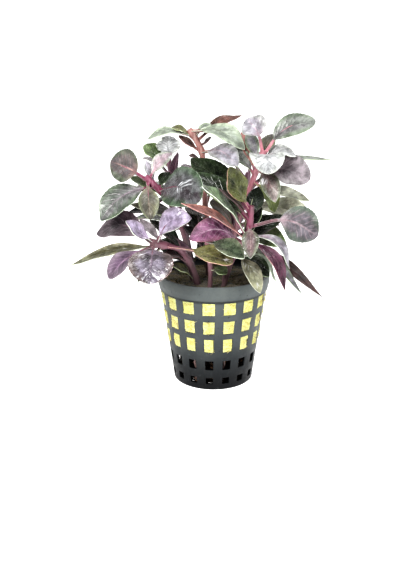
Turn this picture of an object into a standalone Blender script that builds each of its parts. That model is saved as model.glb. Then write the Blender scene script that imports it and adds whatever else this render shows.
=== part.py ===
"""Potted cardinal flower: a dwarf purple-leaved lobelia rooted in a mineral wool plug in a net pot.

Units are metres, +Z up, with the origin at the centre of the pot's underside. The plant faces -Y.
Measures below are in millimetres and degrees, and MM scales them.
"""

import math
from collections import namedtuple

import bmesh
import bpy
from mathutils import Matrix, Vector

MM = 0.001
GAP = 0.3  # clearance between pieces that touch

# Net pot
RIM_RADIUS = 27.5
POT_HEIGHT = 54.5
RIM_BAND = 7.4
RIM_LIP = 4.2
BAND_FOOT_RADIUS = 26.7
WALL_TOP_RADIUS = 26.1
WALL_FOOT_RADIUS = 19.7
WALL = 1.2
FLOOR = 1.6
POT_SIDES = 32
WINDOW_COLUMNS = 16
WINDOW_PHASE = -4.9  # turn of the first column from straight ahead
Window = namedtuple("Window", "low high width")
WINDOW_ROWS = (
    Window(39.9, 46.1, 13.0),
    Window(30.1, 36.7, 12.4),
    Window(20.5, 27.3, 11.6),
    Window(10.8, 15.7, 10.6),
    Window(3.0, 6.4, 9.8),
)
SLOT_COUNT = 8
SLOT_INNER = 8.0
SLOT_OUTER = 16.0
SLOT_WIDTH = 4.6

# Mineral wool plug and what is rooted in it
PLUG_TOP = 51.3
PLUG_FOOT = 18.6
PLUG_ROUND = 1.2
PLUG_GAP = 0.36
PLUG_SIDES = 24
ROOTED_AT = 43.3  # height at which stems end inside the plug
ROOT_RADIUS = 0.55
ROOT_DEPTH = 2.0  # from the plug's underside up to a root's end inside it
PATH_STEPS = 2  # faces between two points of a stem's or a root's line

# Leaves
PETIOLE_WIDTH = 1.5
LEAF_THICKNESS = 0.7
TIP_WIDTH = 0.9
LEAF_STAND_OFF = 1.0  # from the stem's skin to the petiole's end
LONG_PETIOLE = 0.2  # share of the length from which a petiole has a row of its own midway
BLADE_ROWS = (0.0, 0.22, 0.5, 0.82, 1.0)
FUSED_BLADE_ROWS = (0.0, 0.35, 0.78, 1.0)

# Petiole is its share of the length. From there the blade widens to its peak along a sine raised
# to the power foot, and narrows to its tip along one raised to the power nose.
Form = namedtuple("Form", "petiole peak foot nose")
FORMS = {
    "round": Form(0.16, 0.52, 0.80, 0.55),
    "broad": Form(0.08, 0.50, 0.50, 0.55),
    "disc": Form(0.28, 0.50, 0.60, 0.55),
    "spoon": Form(0.26, 0.60, 1.15, 0.60),
    "stalked": Form(0.42, 0.50, 0.75, 0.60),
    "oval": Form(0.16, 0.50, 1.00, 0.75),
    "lance": Form(0.14, 0.45, 1.00, 1.10),
}

# at: place along the stem from 0 to 1. tip: where the blade ends. bow: how far the midrib's middle
# stands off the straight line to the tip. face: turn of the upper face towards the front. cup: rise
# of the edges as a share of the half width. fused: one solid with its stem, as small leaves are.
Leaf = namedtuple("Leaf", "at tip width form tone bow face cup fused", defaults=(0.15, False))
# path: the stem's line from its place on the plug, whose height is ROOTED_AT, to its crown.
Shoot = namedtuple("Shoot", "radius tone path leaves")

SHOOTS = {
    "left_high": Shoot(1.2, "magenta",
        ((-9, -3), (-13, -8, 70), (-19, -12, 88), (-26, -15, 98), (-31, -16, 103)), (
        Leaf(0.99, (-46, -18, 110), 17, "disc", "grey_purple", 1.5, 55),
        Leaf(0.97, (-19, -10, 113), 7, "oval", "lavender", 1.5, 40),
        Leaf(0.87, (-6, -36, 95.5), 19, "broad", "silver_green", 3.5, 55),
        Leaf(0.92, (-50, -27, 85), 14.5, "oval", "silver_green", 4, 35),
        Leaf(0.97, (-28, -27, 85.5), 9.5, "oval", "olive", 1, 0),
        Leaf(0.80, (-39, -6, 101.5), 6, "oval", "green", 1, 30, fused=True),
        Leaf(0.66, (-40, -7, 85), 7, "oval", "olive", 2, 30, fused=True),
        Leaf(0.70, (-25.5, -21, 87), 11, "oval", "grey_green", 1, 20, fused=True),
        Leaf(0.58, (-38, -14, 90), 7, "oval", "pale_green", 1.5, 30, fused=True),
        Leaf(0.80, (-26.5, -12, 87.5), 9, "oval", "dark_purple", 1, 20, fused=True),
        Leaf(0.92, (-31, -9, 109), 4.5, "oval", "lavender", 0.5, 20, fused=True),
        Leaf(0.88, (-20.5, -9, 104), 6, "oval", "dark_green", 0.5, 20, fused=True),
        Leaf(0.24, (-27, -7, 71), 11, "oval", "dark_green", 1.5, 45, fused=True),
    )),
    "left_low": Shoot(1.5, "magenta",
        ((-6, -10), (-10, -14, 60), (-16, -22, 71), (-27, -31, 76)), (
        Leaf(0.98, (-38, -34, 86.5), 9, "oval", "lavender", -1, 40),
        Leaf(0.97, (-9.5, -37, 88.5), 11, "oval", "grey_purple", 4, 60),
        Leaf(0.88, (-66.5, -20, 62.5), 7.5, "lance", "olive", 2.6, 30),
        Leaf(0.97, (-46, -37, 61.5), 12.5, "spoon", "grey_purple", 3, 20),
        Leaf(0.99, (-27, -47, 62), 19.5, "round", "silver_green", 3.5, 0),
        Leaf(0.98, (-54.5, -13, 76), 14.5, "oval", "dark_purple", 6, 45),
        Leaf(0.84, (8, -44, 70.5), 12.5, "stalked", "olive", 1.5, 20),
        Leaf(0.62, (-16, -26, 77), 10, "oval", "dark_green", 1, 30, fused=True),
        Leaf(0.24, (-19.5, -17, 62), 8, "oval", "olive", 1, 20, fused=True),
        Leaf(0.46, (-29, -20, 84), 9, "oval", "dark_green", 2, 30, fused=True),
        Leaf(0.90, (-33, -37, 60), 8, "oval", "green", 1, 0, fused=True),
        Leaf(0.88, (-33, -25, 85.5), 5, "oval", "dark_purple", 0.5, 30, fused=True),
        Leaf(0.50, (-23, -26, 69), 7, "oval", "brown_red", 1, 20, fused=True),
    )),
    "left_back": Shoot(1.1, "mauve",
        ((-8, 4), (-14, 4, 75), (-20, 1, 98), (-21.5, -1, 111)), (
        Leaf(0.97, (-22, 3.2, 119.3), 12, "round", "silver_green", -0.3, 0),
        Leaf(0.93, (-33, -1, 115), 11, "round", "green", 1, 35),
        Leaf(0.85, (-34, 14, 108), 9, "spoon", "grey_purple", 2, 0, fused=True),
        Leaf(0.72, (-38, 20, 92), 11, "spoon", "grey_green", 3, 0, fused=True),
        Leaf(0.60, (-20, 32, 84), 11, "spoon", "silver_green", 3, 0, fused=True),
        Leaf(0.45, (-42, 10, 78), 11, "spoon", "olive", 3, 0, fused=True),
        Leaf(0.80, (-17, -4, 112.5), 5, "oval", "grey_purple", 0.5, 20, fused=True),
        Leaf(0.22, (-1.5, -1, 67), 11, "oval", "green", 1, 50, fused=True),
    )),
    "top": Shoot(1.4, "brown_pink",
        ((-2, 6), (-4, 7, 80), (-5.5, 7, 108), (-8, 7, 116), (-12, 6, 122)), (
        Leaf(0.99, (14, -5, 114), 12.5, "oval", "pale_green", 3.6, 25),
        Leaf(0.97, (-31, 1, 118), 8, "oval", "pale_green", 3, 20),
        Leaf(0.86, (-17, 8, 119), 5, "oval", "brown_red", 0.5, 30),
        Leaf(0.85, (10.5, -21, 108.5), 11, "oval", "lavender", 3.3, 30),
        Leaf(0.92, (13, 14, 128), 7, "lance", "brown_red", 2, 30),
        Leaf(0.79, (-12, 4, 110), 4.5, "oval", "brown_red", 0.5, 20, fused=True),
        Leaf(0.70, (-14, 34, 100), 11, "spoon", "grey_purple", 3, 0, fused=True),
        Leaf(0.52, (2, 36, 92), 11, "spoon", "olive", 3, 0, fused=True),
        Leaf(0.46, (-13, -12, 87), 12, "oval", "dark_green", 2, 45, fused=True),
        Leaf(0.40, (-22, 26, 68), 10, "spoon", "green", 3, 0, fused=True),
        Leaf(0.95, (-1.5, 6, 124.5), 6, "oval", "pale_green", 1, 20, fused=True),
        Leaf(0.89, (-1.5, 5, 118.5), 5, "oval", "brown_red", -0.5, 20, fused=True),
        Leaf(0.96, (-20, 4, 123), 7, "oval", "olive", 0.5, 20, fused=True),
        Leaf(0.34, (-14.8, -2, 82.5), 11, "oval", "dark_green", 1, 55, fused=True),
    )),
    "right_high": Shoot(1.2, "pink",
        ((4, -2), (10, -5, 75), (17, -8, 98), (22.5, -9, 114)), (
        Leaf(0.99, (14.5, -4, 127.5), 12.5, "stalked", "lavender", 2.6, 50),
        Leaf(0.98, (45.2, -8, 127), 10.5, "disc", "grey_green", 5, 60),
        Leaf(0.97, (23.5, -25, 105.5), 15.5, "broad", "silver_green", 4, 0),
        Leaf(0.92, (37, -10, 111.5), 10, "oval", "silver_green", 4.2, 20),
        Leaf(0.88, (43.5, -12, 101.5), 16, "round", "dark_purple", 2.2, 50),
        Leaf(0.90, (55.5, 7, 108), 5.5, "lance", "grey_green", 2, 15),
        Leaf(0.88, (27, -24, 93), 8.5, "oval", "lavender", 2.5, 30),
        Leaf(0.80, (28, -11, 86), 11, "oval", "olive", 2, 25),
        Leaf(0.94, (27, 4, 120), 7, "oval", "olive", 0.5, 20, fused=True),
        Leaf(0.92, (15.5, 2, 122), 6.5, "oval", "dark_green", -0.5, 20, fused=True),
        Leaf(0.84, (7, -3, 116.5), 8, "oval", "grey_green", 0.5, 30, fused=True),
        Leaf(0.74, (35, 16, 102), 10, "spoon", "grey_purple", 3, 0, fused=True),
        Leaf(0.50, (38, 10, 76), 11, "spoon", "silver_green", 3, 0, fused=True),
        Leaf(0.46, (-2, -15, 91), 14, "oval", "brown_red", 2, 45, fused=True),
        Leaf(0.86, (12.5, 3, 121), 6, "oval", "salmon", 0.5, 20, fused=True),
    )),
    "right_front": Shoot(1.2, "magenta",
        ((3, -10), (9, -17, 66), (15, -25, 78), (16.5, -27, 92)), (
        Leaf(0.94, (-11, 2, 109), 14, "oval", "dark_green", 2, 35),
        Leaf(0.87, (-9.5, -21.5, 105.5), 12, "oval", "dark_green", 2, 40),
        Leaf(0.98, (6.5, -28, 109), 13, "oval", "olive", -0.5, 50),
        Leaf(0.75, (-5, -43, 103), 11, "oval", "green", 3, 40),
        Leaf(0.71, (-13.5, -43, 96), 6, "lance", "salmon", 2.5, 40),
        Leaf(0.66, (-10.5, -38, 79.5), 11, "oval", "magenta_leaf", 5, 60),
        Leaf(0.84, (15.5, -43, 72.5), 7.5, "oval", "lavender", 2, 0),
        Leaf(0.72, (31.5, -37, 56), 6, "lance", "dark_purple", 5.5, 30),
        Leaf(0.76, (33.5, -32, 65), 5, "lance", "lavender", 5.5, 30),
        Leaf(0.83, (45, -33, 80), 16.5, "stalked", "grey_purple", 5, 60),
        Leaf(0.48, (25, -28, 60), 9, "oval", "dark_green", 2, 30),
        Leaf(0.52, (20.5, -38, 55.5), 8, "oval", "olive", 3, 10),
        Leaf(0.90, (2, -33, 100.5), 5, "oval", "brown_red", 0.5, 30, fused=True),
        Leaf(0.56, (32, -13, 85), 10, "oval", "dark_green", 2, 30, fused=True),
        Leaf(0.44, (-4, -22, 84), 9, "oval", "dark_green", 2, 45, fused=True),
        Leaf(0.62, (17, -21, 94), 4.6, "oval", "olive", 0.3, 0, fused=True),
        Leaf(0.50, (29, -18, 54.8), 6, "oval", "pale_green", 5, 20, fused=True),
        Leaf(0.86, (20, -16, 98.5), 8, "oval", "dark_green", 0.5, 20, fused=True),
        Leaf(0.62, (21.5, -18, 90), 8, "oval", "green", 0.5, 20, fused=True),
    )),
    "front": Shoot(1.1, "pink",
        ((-2, -13), (-1.5, -18, 60), (-2.5, -26, 72), (-3.5, -31, 78)), (
        Leaf(0.97, (12.5, -50.5, 74.5), 9, "oval", "dark_green", 2, 30),
        Leaf(0.46, (6, -22, 59.5), 7, "round", "green", 1, 20, fused=True),
        Leaf(0.60, (-7.5, -22, 87.5), 9, "oval", "dark_green", 0.5, 20, fused=True),
        Leaf(0.75, (-13.5, -26, 82.5), 9, "oval", "dark_purple", 0.5, 20, fused=True),
    )),
    "back": Shoot(1.3, "mauve",
        ((3, 9), (9, 14, 70), (15, 18, 88), (17, 20, 100)), (
        Leaf(0.70, (48, -12, 79.5), 13.5, "oval", "grey_green", 5, 30),
        Leaf(0.84, (46, 5, 88.5), 9, "oval", "pale_green", 2.4, 20),
        Leaf(0.45, (33, -20, 72.5), 12, "oval", "green", 4, 45),
        Leaf(0.40, (41, -23, 50), 5.5, "lance", "grey_green", 6.5, 25),
        Leaf(0.36, (51, -17, 47), 7, "lance", "brown_red", 5.5, 25),
        Leaf(0.98, (22, 40, 108), 12, "spoon", "grey_purple", 3, 0),
        Leaf(0.95, (-2, 30, 110), 11, "spoon", "grey_green", 3, 0),
        Leaf(0.88, (38, 28, 96), 12, "spoon", "silver_green", 4, 0),
        Leaf(0.75, (10, 46, 88), 10, "spoon", "green", 4, 0, fused=True),
        Leaf(0.50, (34, 34, 70), 11, "spoon", "grey_purple", 4, 0, fused=True),
        Leaf(0.42, (-6, 40, 68), 9, "oval", "olive", 4, 0, fused=True),
        Leaf(0.44, (11, 1, 85), 11, "oval", "dark_green", 1, 0, fused=True),
    )),
}

ROOTS = {
    "root_left": ((-7, -14.5), (-9, -16, 13), (-7.5, -15.5, 8), (-8.5, -15, 4)),
    "root_right": ((4, -16), (5.5, -16.5, 12), (3.5, -16.5, 7), (4.5, -15.5, 3.5)),
}

# Base colour, roughness
FINISHES = {
    "pot_plastic": ((0.06, 0.068, 0.08), 0.45),
    "mineral_wool": ((0.72, 0.66, 0.32), 0.95),
    "root": ((0.55, 0.43, 0.24), 0.8),
    "magenta": ((0.42, 0.07, 0.22), 0.45),
    "mauve": ((0.36, 0.2, 0.27), 0.5),
    "pink": ((0.52, 0.2, 0.27), 0.45),
    "brown_pink": ((0.42, 0.19, 0.16), 0.5),
    "grey_purple": ((0.3, 0.25, 0.3), 0.5),
    "dark_purple": ((0.14, 0.09, 0.13), 0.5),
    "silver_green": ((0.45, 0.47, 0.43), 0.4),
    "grey_green": ((0.36, 0.41, 0.3), 0.45),
    "pale_green": ((0.45, 0.52, 0.34), 0.45),
    "green": ((0.2, 0.3, 0.1), 0.4),
    "dark_green": ((0.06, 0.1, 0.05), 0.35),
    "olive": ((0.27, 0.28, 0.08), 0.4),
    "lavender": ((0.5, 0.42, 0.52), 0.45),
    "brown_red": ((0.18, 0.06, 0.04), 0.5),
    "magenta_leaf": ((0.28, 0.1, 0.2), 0.4),
    "salmon": ((0.48, 0.2, 0.16), 0.45),
}


def finish(name):
    colour, roughness = FINISHES[name]
    material = bpy.data.materials.get(name) or bpy.data.materials.new(name)
    material.use_nodes = True
    shader = material.node_tree.nodes["Principled BSDF"]
    shader.inputs["Base Color"].default_value = (*colour, 1.0)
    shader.inputs["Roughness"].default_value = roughness
    shader.inputs["Metallic"].default_value = 0.0
    return material


def add_object(name, data, collection, finish_name=None):
    thing = bpy.data.objects.new(name, data)
    collection.objects.link(thing)
    if finish_name:
        data.materials.append(finish(finish_name))
    return thing


def add_guide(name, data):
    """A cutter or a guide: it shapes other objects and is no part of the plant."""
    thing = add_object(name, data, guides)
    thing.hide_render = True
    thing.display_type = "WIRE"
    return thing


def add_boolean(target, operand, operation):
    modifier = target.modifiers.new(operand.name, "BOOLEAN")
    modifier.object = operand
    modifier.operation = operation
    modifier.solver = "EXACT"


def smooth(mesh):
    mesh.shade_smooth()
    mesh.set_sharp_from_angle(angle=math.radians(35))


def turned(name, profile, sides, finish_name):
    """A solid of revolution from (radius, height) points that run down its outer side."""
    bm = bmesh.new()
    points = [bm.verts.new((radius * MM, 0, height * MM)) for radius, height in profile]
    for upper, lower in zip(points, points[1:]):
        bm.edges.new((upper, lower))
    mesh = bpy.data.meshes.new(name)
    bm.to_mesh(mesh)
    bm.free()
    solid = add_object(name, mesh, plant, finish_name)
    screw = solid.modifiers.new("Turn", "SCREW")
    screw.steps = screw.render_steps = sides
    screw.use_merge_vertices = True
    screw.merge_threshold = 0.00001
    screw.use_normal_calculate = False
    return solid


def wall_radius(height):
    """Outer radius of the pot's wall, which tapers evenly from the rim band to the foot."""
    band_foot = POT_HEIGHT - RIM_BAND
    return WALL_FOOT_RADIUS + (WALL_TOP_RADIUS - WALL_FOOT_RADIUS) * height / band_foot


def window_cutter(row, window):
    """One box for each column of a row, each reaching through the wall."""
    middle = (window.low + window.high) / 2
    radius = wall_radius(middle) - WALL / 2
    width = 2 * radius * math.tan(math.radians(window.width / 2))
    bm = bmesh.new()
    for column in range(WINDOW_COLUMNS):
        turn = math.radians(WINDOW_PHASE + column * 360 / WINDOW_COLUMNS)
        box = bmesh.ops.create_cube(bm, size=MM)["verts"]
        bmesh.ops.scale(bm, verts=box, vec=(width, WALL * 4, window.high - window.low))
        bmesh.ops.translate(bm, verts=box, vec=Vector((0, -radius, middle)) * MM)
        bmesh.ops.rotate(bm, verts=box, cent=(0, 0, 0), matrix=Matrix.Rotation(turn, 3, "Z"))
    mesh = bpy.data.meshes.new(f"window_row_{row}")
    bm.to_mesh(mesh)
    bm.free()
    return add_guide(mesh.name, mesh)


def slot_cutter():
    """Radial drain slots in the floor, around a whole middle that the pot rests on."""
    bm = bmesh.new()
    for number in range(SLOT_COUNT):
        turn = math.radians(number * 360 / SLOT_COUNT)
        box = bmesh.ops.create_cube(bm, size=MM)["verts"]
        bmesh.ops.scale(bm, verts=box, vec=(SLOT_OUTER - SLOT_INNER, SLOT_WIDTH, FLOOR * 4))
        bmesh.ops.translate(bm, verts=box, vec=Vector(((SLOT_INNER + SLOT_OUTER) / 2, 0, 0)) * MM)
        bmesh.ops.rotate(bm, verts=box, cent=(0, 0, 0), matrix=Matrix.Rotation(turn, 3, "Z"))
    mesh = bpy.data.meshes.new("drain_slots")
    bm.to_mesh(mesh)
    bm.free()
    return add_guide(mesh.name, mesh)


def make_pot():
    band_foot = POT_HEIGHT - RIM_BAND
    profile = (
        (0, FLOOR),
        (wall_radius(FLOOR) - WALL, FLOOR),
        (wall_radius(POT_HEIGHT) - WALL, POT_HEIGHT),
        (RIM_RADIUS, POT_HEIGHT),
        (RIM_RADIUS, POT_HEIGHT - RIM_LIP),
        (BAND_FOOT_RADIUS, band_foot),
        (wall_radius(band_foot), band_foot),
        (WALL_FOOT_RADIUS, 0),
        (0, 0),
    )
    pot = turned("net_pot", profile, POT_SIDES, "pot_plastic")
    # A column of windows is centred on an edge between two sides.
    pot.data.transform(Matrix.Rotation(math.radians(WINDOW_PHASE - 90), 4, "Z"))
    for row, window in enumerate(WINDOW_ROWS, start=1):
        add_boolean(pot, window_cutter(row, window), "DIFFERENCE")
    add_boolean(pot, slot_cutter(), "DIFFERENCE")
    smooth(pot.data)


def smooth_path(points, steps):
    """Points on a smooth curve through the given ones, with steps between each two."""
    knots = [Vector(point) for point in points]
    knots = [2 * knots[0] - knots[1], *knots, 2 * knots[-1] - knots[-2]]
    path = []
    for before, start, end, after in zip(knots, knots[1:], knots[2:], knots[3:]):
        for step in range(steps):
            t = step / steps
            path.append(
                start
                + (end - before) * t / 2
                + (before - 2.5 * start + 2 * end - after / 2) * t**2
                + (1.5 * start - 1.5 * end + (after - before) / 2) * t**3
            )
    path.append(knots[-2])
    return path


def place_on(path, share):
    """The point a share of the way along a path, and the path's direction there."""
    lengths = [(end - start).length for start, end in zip(path, path[1:])]
    left = share * sum(lengths)
    for start, end, length in zip(path, path[1:], lengths):
        if left <= length:
            break
        left -= length
    return start.lerp(end, min(left / length, 1)), (end - start).normalized()


def tube(name, path, radius, sides=6):
    """A round tube along a path, as a closed mesh."""
    curve = bpy.data.curves.new(name, "CURVE")
    curve.dimensions = "3D"
    curve.bevel_depth = radius * MM
    curve.bevel_resolution = (sides - 4) // 2
    curve.use_fill_caps = True
    spline = curve.splines.new("POLY")
    spline.points.add(len(path) - 1)
    for point, place in zip(spline.points, path):
        point.co = (*(place * MM), 1.0)
    wire = add_guide(name + "_line", curve)
    bpy.context.view_layer.update()
    solid = wire.evaluated_get(bpy.context.evaluated_depsgraph_get())
    mesh = bpy.data.meshes.new_from_object(solid)
    mesh.name = name
    mesh.materials.clear()
    bpy.data.objects.remove(wire)
    bm = bmesh.new()
    bm.from_mesh(mesh)
    bmesh.ops.remove_doubles(bm, verts=bm.verts, dist=0.00001)
    bm.to_mesh(mesh)
    bm.free()
    return mesh


def socket(name, path, radius):
    """Cutter for the hole in the plug that a stem or a root stands in."""
    start = path[0] - (path[1] - path[0]).normalized() * GAP
    return add_guide(name, tube(name, [start, *path[1:]], radius + GAP))


def rows_of(leaf, length):
    """(distance, half width) at each row of a leaf, from its petiole's foot to its tip."""
    form = FORMS[leaf.form]
    foot = form.petiole * length
    rows = [(0, PETIOLE_WIDTH / 2)]
    if form.petiole > LONG_PETIOLE:
        rows.append((foot / 2, PETIOLE_WIDTH / 2))
    for share in FUSED_BLADE_ROWS if leaf.fused else BLADE_ROWS:
        if share <= form.peak:
            reach = math.sin(math.pi / 2 * share / form.peak) ** form.foot
            narrowest = PETIOLE_WIDTH / 2
        else:
            reach = math.sin(math.pi / 2 * (1 - share) / (1 - form.peak)) ** form.nose
            narrowest = TIP_WIDTH / 2
        rows.append((foot + share * (length - foot), max(leaf.width / 2 * reach, narrowest)))
    return rows


def leaf_mesh(name, leaf, length):
    """A flat leaf along +X: a strip two faces wide, its edges raised by the leaf's cup. A leaf that
    is fused with its stem stays a flat strip one face wide."""
    rows = rows_of(leaf, length)
    faces_across = 1 if leaf.fused else 2
    cup = 0 if leaf.fused else leaf.cup
    bm = bmesh.new()
    bmesh.ops.create_grid(bm, x_segments=len(rows) - 1, y_segments=faces_across, size=1)
    lines = sorted({round(vert.co.x, 4) for vert in bm.verts})
    for vert in bm.verts:
        distance, half_width = rows[lines.index(round(vert.co.x, 4))]
        rise = cup * abs(vert.co.y) * max(half_width - PETIOLE_WIDTH / 2, 0)
        vert.co = Vector((distance, vert.co.y * half_width, rise)) * MM
    mesh = bpy.data.meshes.new(name)
    bm.to_mesh(mesh)
    bm.free()
    smooth(mesh)
    return mesh


def midrib(name, base, leaf):
    """Guide that a leaf is bent along, and the line that its upper face looks towards."""
    tip = Vector(leaf.tip)
    chord = (tip - base).normalized()
    upward = (Vector((0, 0, 1)) - chord * chord.z).normalized()
    curve = bpy.data.curves.new(name, "CURVE")
    curve.dimensions = "3D"
    curve.twist_mode = "Z_UP"
    curve.use_stretch = True
    curve.use_deform_bounds = True
    spline = curve.splines.new("BEZIER")
    spline.bezier_points.add(2)
    turn = math.radians(leaf.face) * (1 if tip.x > base.x else -1)
    middle = base.lerp(tip, 0.5) + upward * leaf.bow
    for point, place in zip(spline.bezier_points, (base, middle, tip)):
        point.co = place * MM
        point.handle_left_type = point.handle_right_type = "AUTO"
        point.tilt = turn
    return add_guide(name, curve)


def make_leaf(name, leaf, shoot, path):
    centre, along = place_on(path, leaf.at)
    outward = Vector(leaf.tip) - centre
    outward = (outward - along * outward.dot(along)).normalized()
    base = centre if leaf.fused else centre + outward * (shoot.radius + LEAF_STAND_OFF)
    mesh = leaf_mesh(name, leaf, (Vector(leaf.tip) - base).length)
    if leaf.fused:
        blade = add_guide(name, mesh)
    else:
        blade = add_object(name, mesh, plant, leaf.tone)
    bend = blade.modifiers.new("Bend", "CURVE")
    bend.object = midrib(name + "_midrib", base, leaf)
    bend.deform_axis = "POS_X"
    body = blade.modifiers.new("Body", "SOLIDIFY")
    body.thickness = LEAF_THICKNESS * MM
    body.offset = 0
    return blade


def make_shoot(name, shoot, plug):
    rooted = Vector((*shoot.path[0], ROOTED_AT))
    path = smooth_path([rooted, *shoot.path[1:]], PATH_STEPS)
    add_boolean(plug, socket(f"socket_{name}", path, shoot.radius), "DIFFERENCE")
    stem = add_object(f"stem_{name}", tube(f"stem_{name}", path, shoot.radius), plant, shoot.tone)
    for number, leaf in enumerate(shoot.leaves, start=1):
        blade = make_leaf(f"leaf_{name}_{number}", leaf, shoot, path)
        if leaf.fused:
            add_boolean(stem, blade, "UNION")
    smooth(stem.data)


def make_plug():
    def inner(height):
        return wall_radius(height) - WALL - PLUG_GAP

    profile = (
        (0, PLUG_TOP),
        (inner(PLUG_TOP) - PLUG_ROUND, PLUG_TOP),
        (inner(PLUG_TOP - PLUG_ROUND), PLUG_TOP - PLUG_ROUND),
        (inner(PLUG_FOOT + PLUG_ROUND), PLUG_FOOT + PLUG_ROUND),
        (inner(PLUG_FOOT) - PLUG_ROUND, PLUG_FOOT),
        (0, PLUG_FOOT),
    )
    plug = turned("wool_plug", profile, PLUG_SIDES, "mineral_wool")
    plug.data.transform(Matrix.Rotation(math.radians(WINDOW_PHASE - 90), 4, "Z"))
    smooth(plug.data)
    return plug


def make_root(name, points, plug):
    path = smooth_path([Vector((*points[0], PLUG_FOOT + ROOT_DEPTH)), *points[1:]], PATH_STEPS)
    add_boolean(plug, socket(f"socket_{name}", path, ROOT_RADIUS), "DIFFERENCE")
    root = add_object(name, tube(name, path, ROOT_RADIUS), plant, "root")
    smooth(root.data)


for thing in list(bpy.data.objects):
    bpy.data.objects.remove(thing)
plant = bpy.data.collections.new("cardinal_flower")
guides = bpy.data.collections.new("cutters_and_guides")
bpy.context.scene.collection.children.link(plant)
bpy.context.scene.collection.children.link(guides)

make_pot()
wool_plug = make_plug()
for shoot_name, one_shoot in SHOOTS.items():
    make_shoot(shoot_name, one_shoot, wool_plug)
for root_name, root_points in ROOTS.items():
    make_root(root_name, root_points, wool_plug)
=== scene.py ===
import math
import random

import bmesh
import bpy
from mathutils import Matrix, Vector, noise


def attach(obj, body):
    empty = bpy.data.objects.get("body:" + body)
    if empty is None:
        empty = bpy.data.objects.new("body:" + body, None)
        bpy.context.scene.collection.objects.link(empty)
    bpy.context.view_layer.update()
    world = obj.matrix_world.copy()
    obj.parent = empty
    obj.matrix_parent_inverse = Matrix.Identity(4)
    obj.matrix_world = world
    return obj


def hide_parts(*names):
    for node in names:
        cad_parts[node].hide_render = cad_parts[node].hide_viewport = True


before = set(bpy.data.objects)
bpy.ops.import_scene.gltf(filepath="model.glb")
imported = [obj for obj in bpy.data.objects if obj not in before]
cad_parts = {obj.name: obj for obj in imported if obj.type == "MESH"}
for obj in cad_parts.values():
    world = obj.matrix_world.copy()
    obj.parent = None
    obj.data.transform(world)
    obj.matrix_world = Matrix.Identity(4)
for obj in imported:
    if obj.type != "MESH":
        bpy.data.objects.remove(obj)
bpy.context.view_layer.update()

mm = 0.001
random.seed(7)
print("frame loaded:", len(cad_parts), "nodes")


# ways of working that every piece shares

def deselectAll():
    if bpy.context.object and bpy.context.object.mode != "OBJECT":
        bpy.ops.object.mode_set(mode="OBJECT")
    bpy.ops.object.select_all(action="DESELECT")


def pick(*pieces):
    deselectAll()
    for piece in pieces:
        piece.select_set(True)
    bpy.context.view_layer.objects.active = pieces[0]


def applyModifiers(piece):
    pick(piece)
    for modifier in list(piece.modifiers):
        bpy.ops.object.modifier_apply(modifier=modifier.name)


def joinPieces(pieces, name):
    pick(*pieces)
    if len(pieces) > 1:
        bpy.ops.object.join()
    joined = bpy.context.object
    joined.name = joined.data.name = name
    return joined


def settle(piece):
    # the place goes into the mesh, as a CAD node's does
    pick(piece)
    bpy.ops.object.transform_apply(location=True, rotation=True, scale=True)


def paint(red, green, blue):
    # a colour as it looks on screen, 0 to 255, in the light values that shaders use
    def toLight(value):
        share = value / 255
        return share / 12.92 if share < 0.04045 else ((share + 0.055) / 1.055) ** 2.4
    return (toLight(red), toLight(green), toLight(blue), 1.0)


def painted(colours):
    return {key: paint(*colour) for key, colour in colours.items()}


def addNode(tree, kind, inputs=None, **settings):
    made = tree.nodes.new(kind)
    for key, value in settings.items():
        setattr(made, key, value)
    for key, value in (inputs or {}).items():
        if isinstance(value, bpy.types.NodeSocket):
            tree.links.new(value, made.inputs[key])
        else:
            made.inputs[key].default_value = value
    return made


def sums(tree, operation, first, second=0.0):
    return addNode(tree, "ShaderNodeMath", {0: first, 1: second}, operation=operation).outputs[0]


def times(tree, first, second):
    return sums(tree, "MULTIPLY", first, second)


def plus(tree, first, second):
    return sums(tree, "ADD", first, second)


def minus(tree, first, second):
    return sums(tree, "SUBTRACT", first, second)


def vectors(tree, operation, inputs, output=0):
    return addNode(tree, "ShaderNodeVectorMath", inputs, operation=operation).outputs[output]


def heightOf(tree, place):
    return addNode(tree, "ShaderNodeSeparateXYZ", {0: place}).outputs[2]


def remap(tree, value, fromLow, fromHigh, toLow=0.0, toHigh=1.0, curve="SMOOTHSTEP"):
    inputs = {"Value": value, "From Min": fromLow, "From Max": fromHigh, "To Min": toLow, "To Max": toHigh}
    return addNode(tree, "ShaderNodeMapRange", inputs, interpolation_type=curve).outputs[0]


def mixColours(tree, share, first, second, blend="MIX"):
    inputs = {0: share, 6: first, 7: second}
    return addNode(tree, "ShaderNodeMix", inputs, data_type="RGBA", blend_type=blend).outputs[2]


def dim(tree, colour, shade):
    grey = addNode(tree, "ShaderNodeCombineXYZ", {0: shade, 1: shade, 2: shade}).outputs[0]
    return mixColours(tree, 1.0, colour, grey, "MULTIPLY")


def clouds(tree, place, scale, detail=3.0, rough=0.55, stretch=None):
    if stretch:
        place = addNode(tree, "ShaderNodeMapping", {"Vector": place, "Scale": stretch}).outputs[0]
    inputs = {"Vector": place, "Scale": scale, "Detail": detail, "Roughness": rough}
    return addNode(tree, "ShaderNodeTexNoise", inputs).outputs[0]


def newMaterial(name, **constants):
    material = bpy.data.materials.new(name)
    material.use_nodes = True
    tree = material.node_tree
    shader = tree.nodes["Principled BSDF"]
    for socket, value in constants.items():
        shader.inputs[socket.replace("_", " ")].default_value = value
    places = addNode(tree, "ShaderNodeTexCoord").outputs
    return material, tree, shader, places


def coat(tree, shader, colour, rough):
    tree.links.new(colour, shader.inputs["Base Color"])
    tree.links.new(rough, shader.inputs["Roughness"])


def raiseBumps(tree, shader, height, distance, strength=1.0):
    bump = addNode(tree, "ShaderNodeBump", {"Height": height, "Distance": distance, "Strength": strength})
    tree.links.new(bump.outputs[0], shader.inputs["Normal"])


# camera, floor and light

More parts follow.
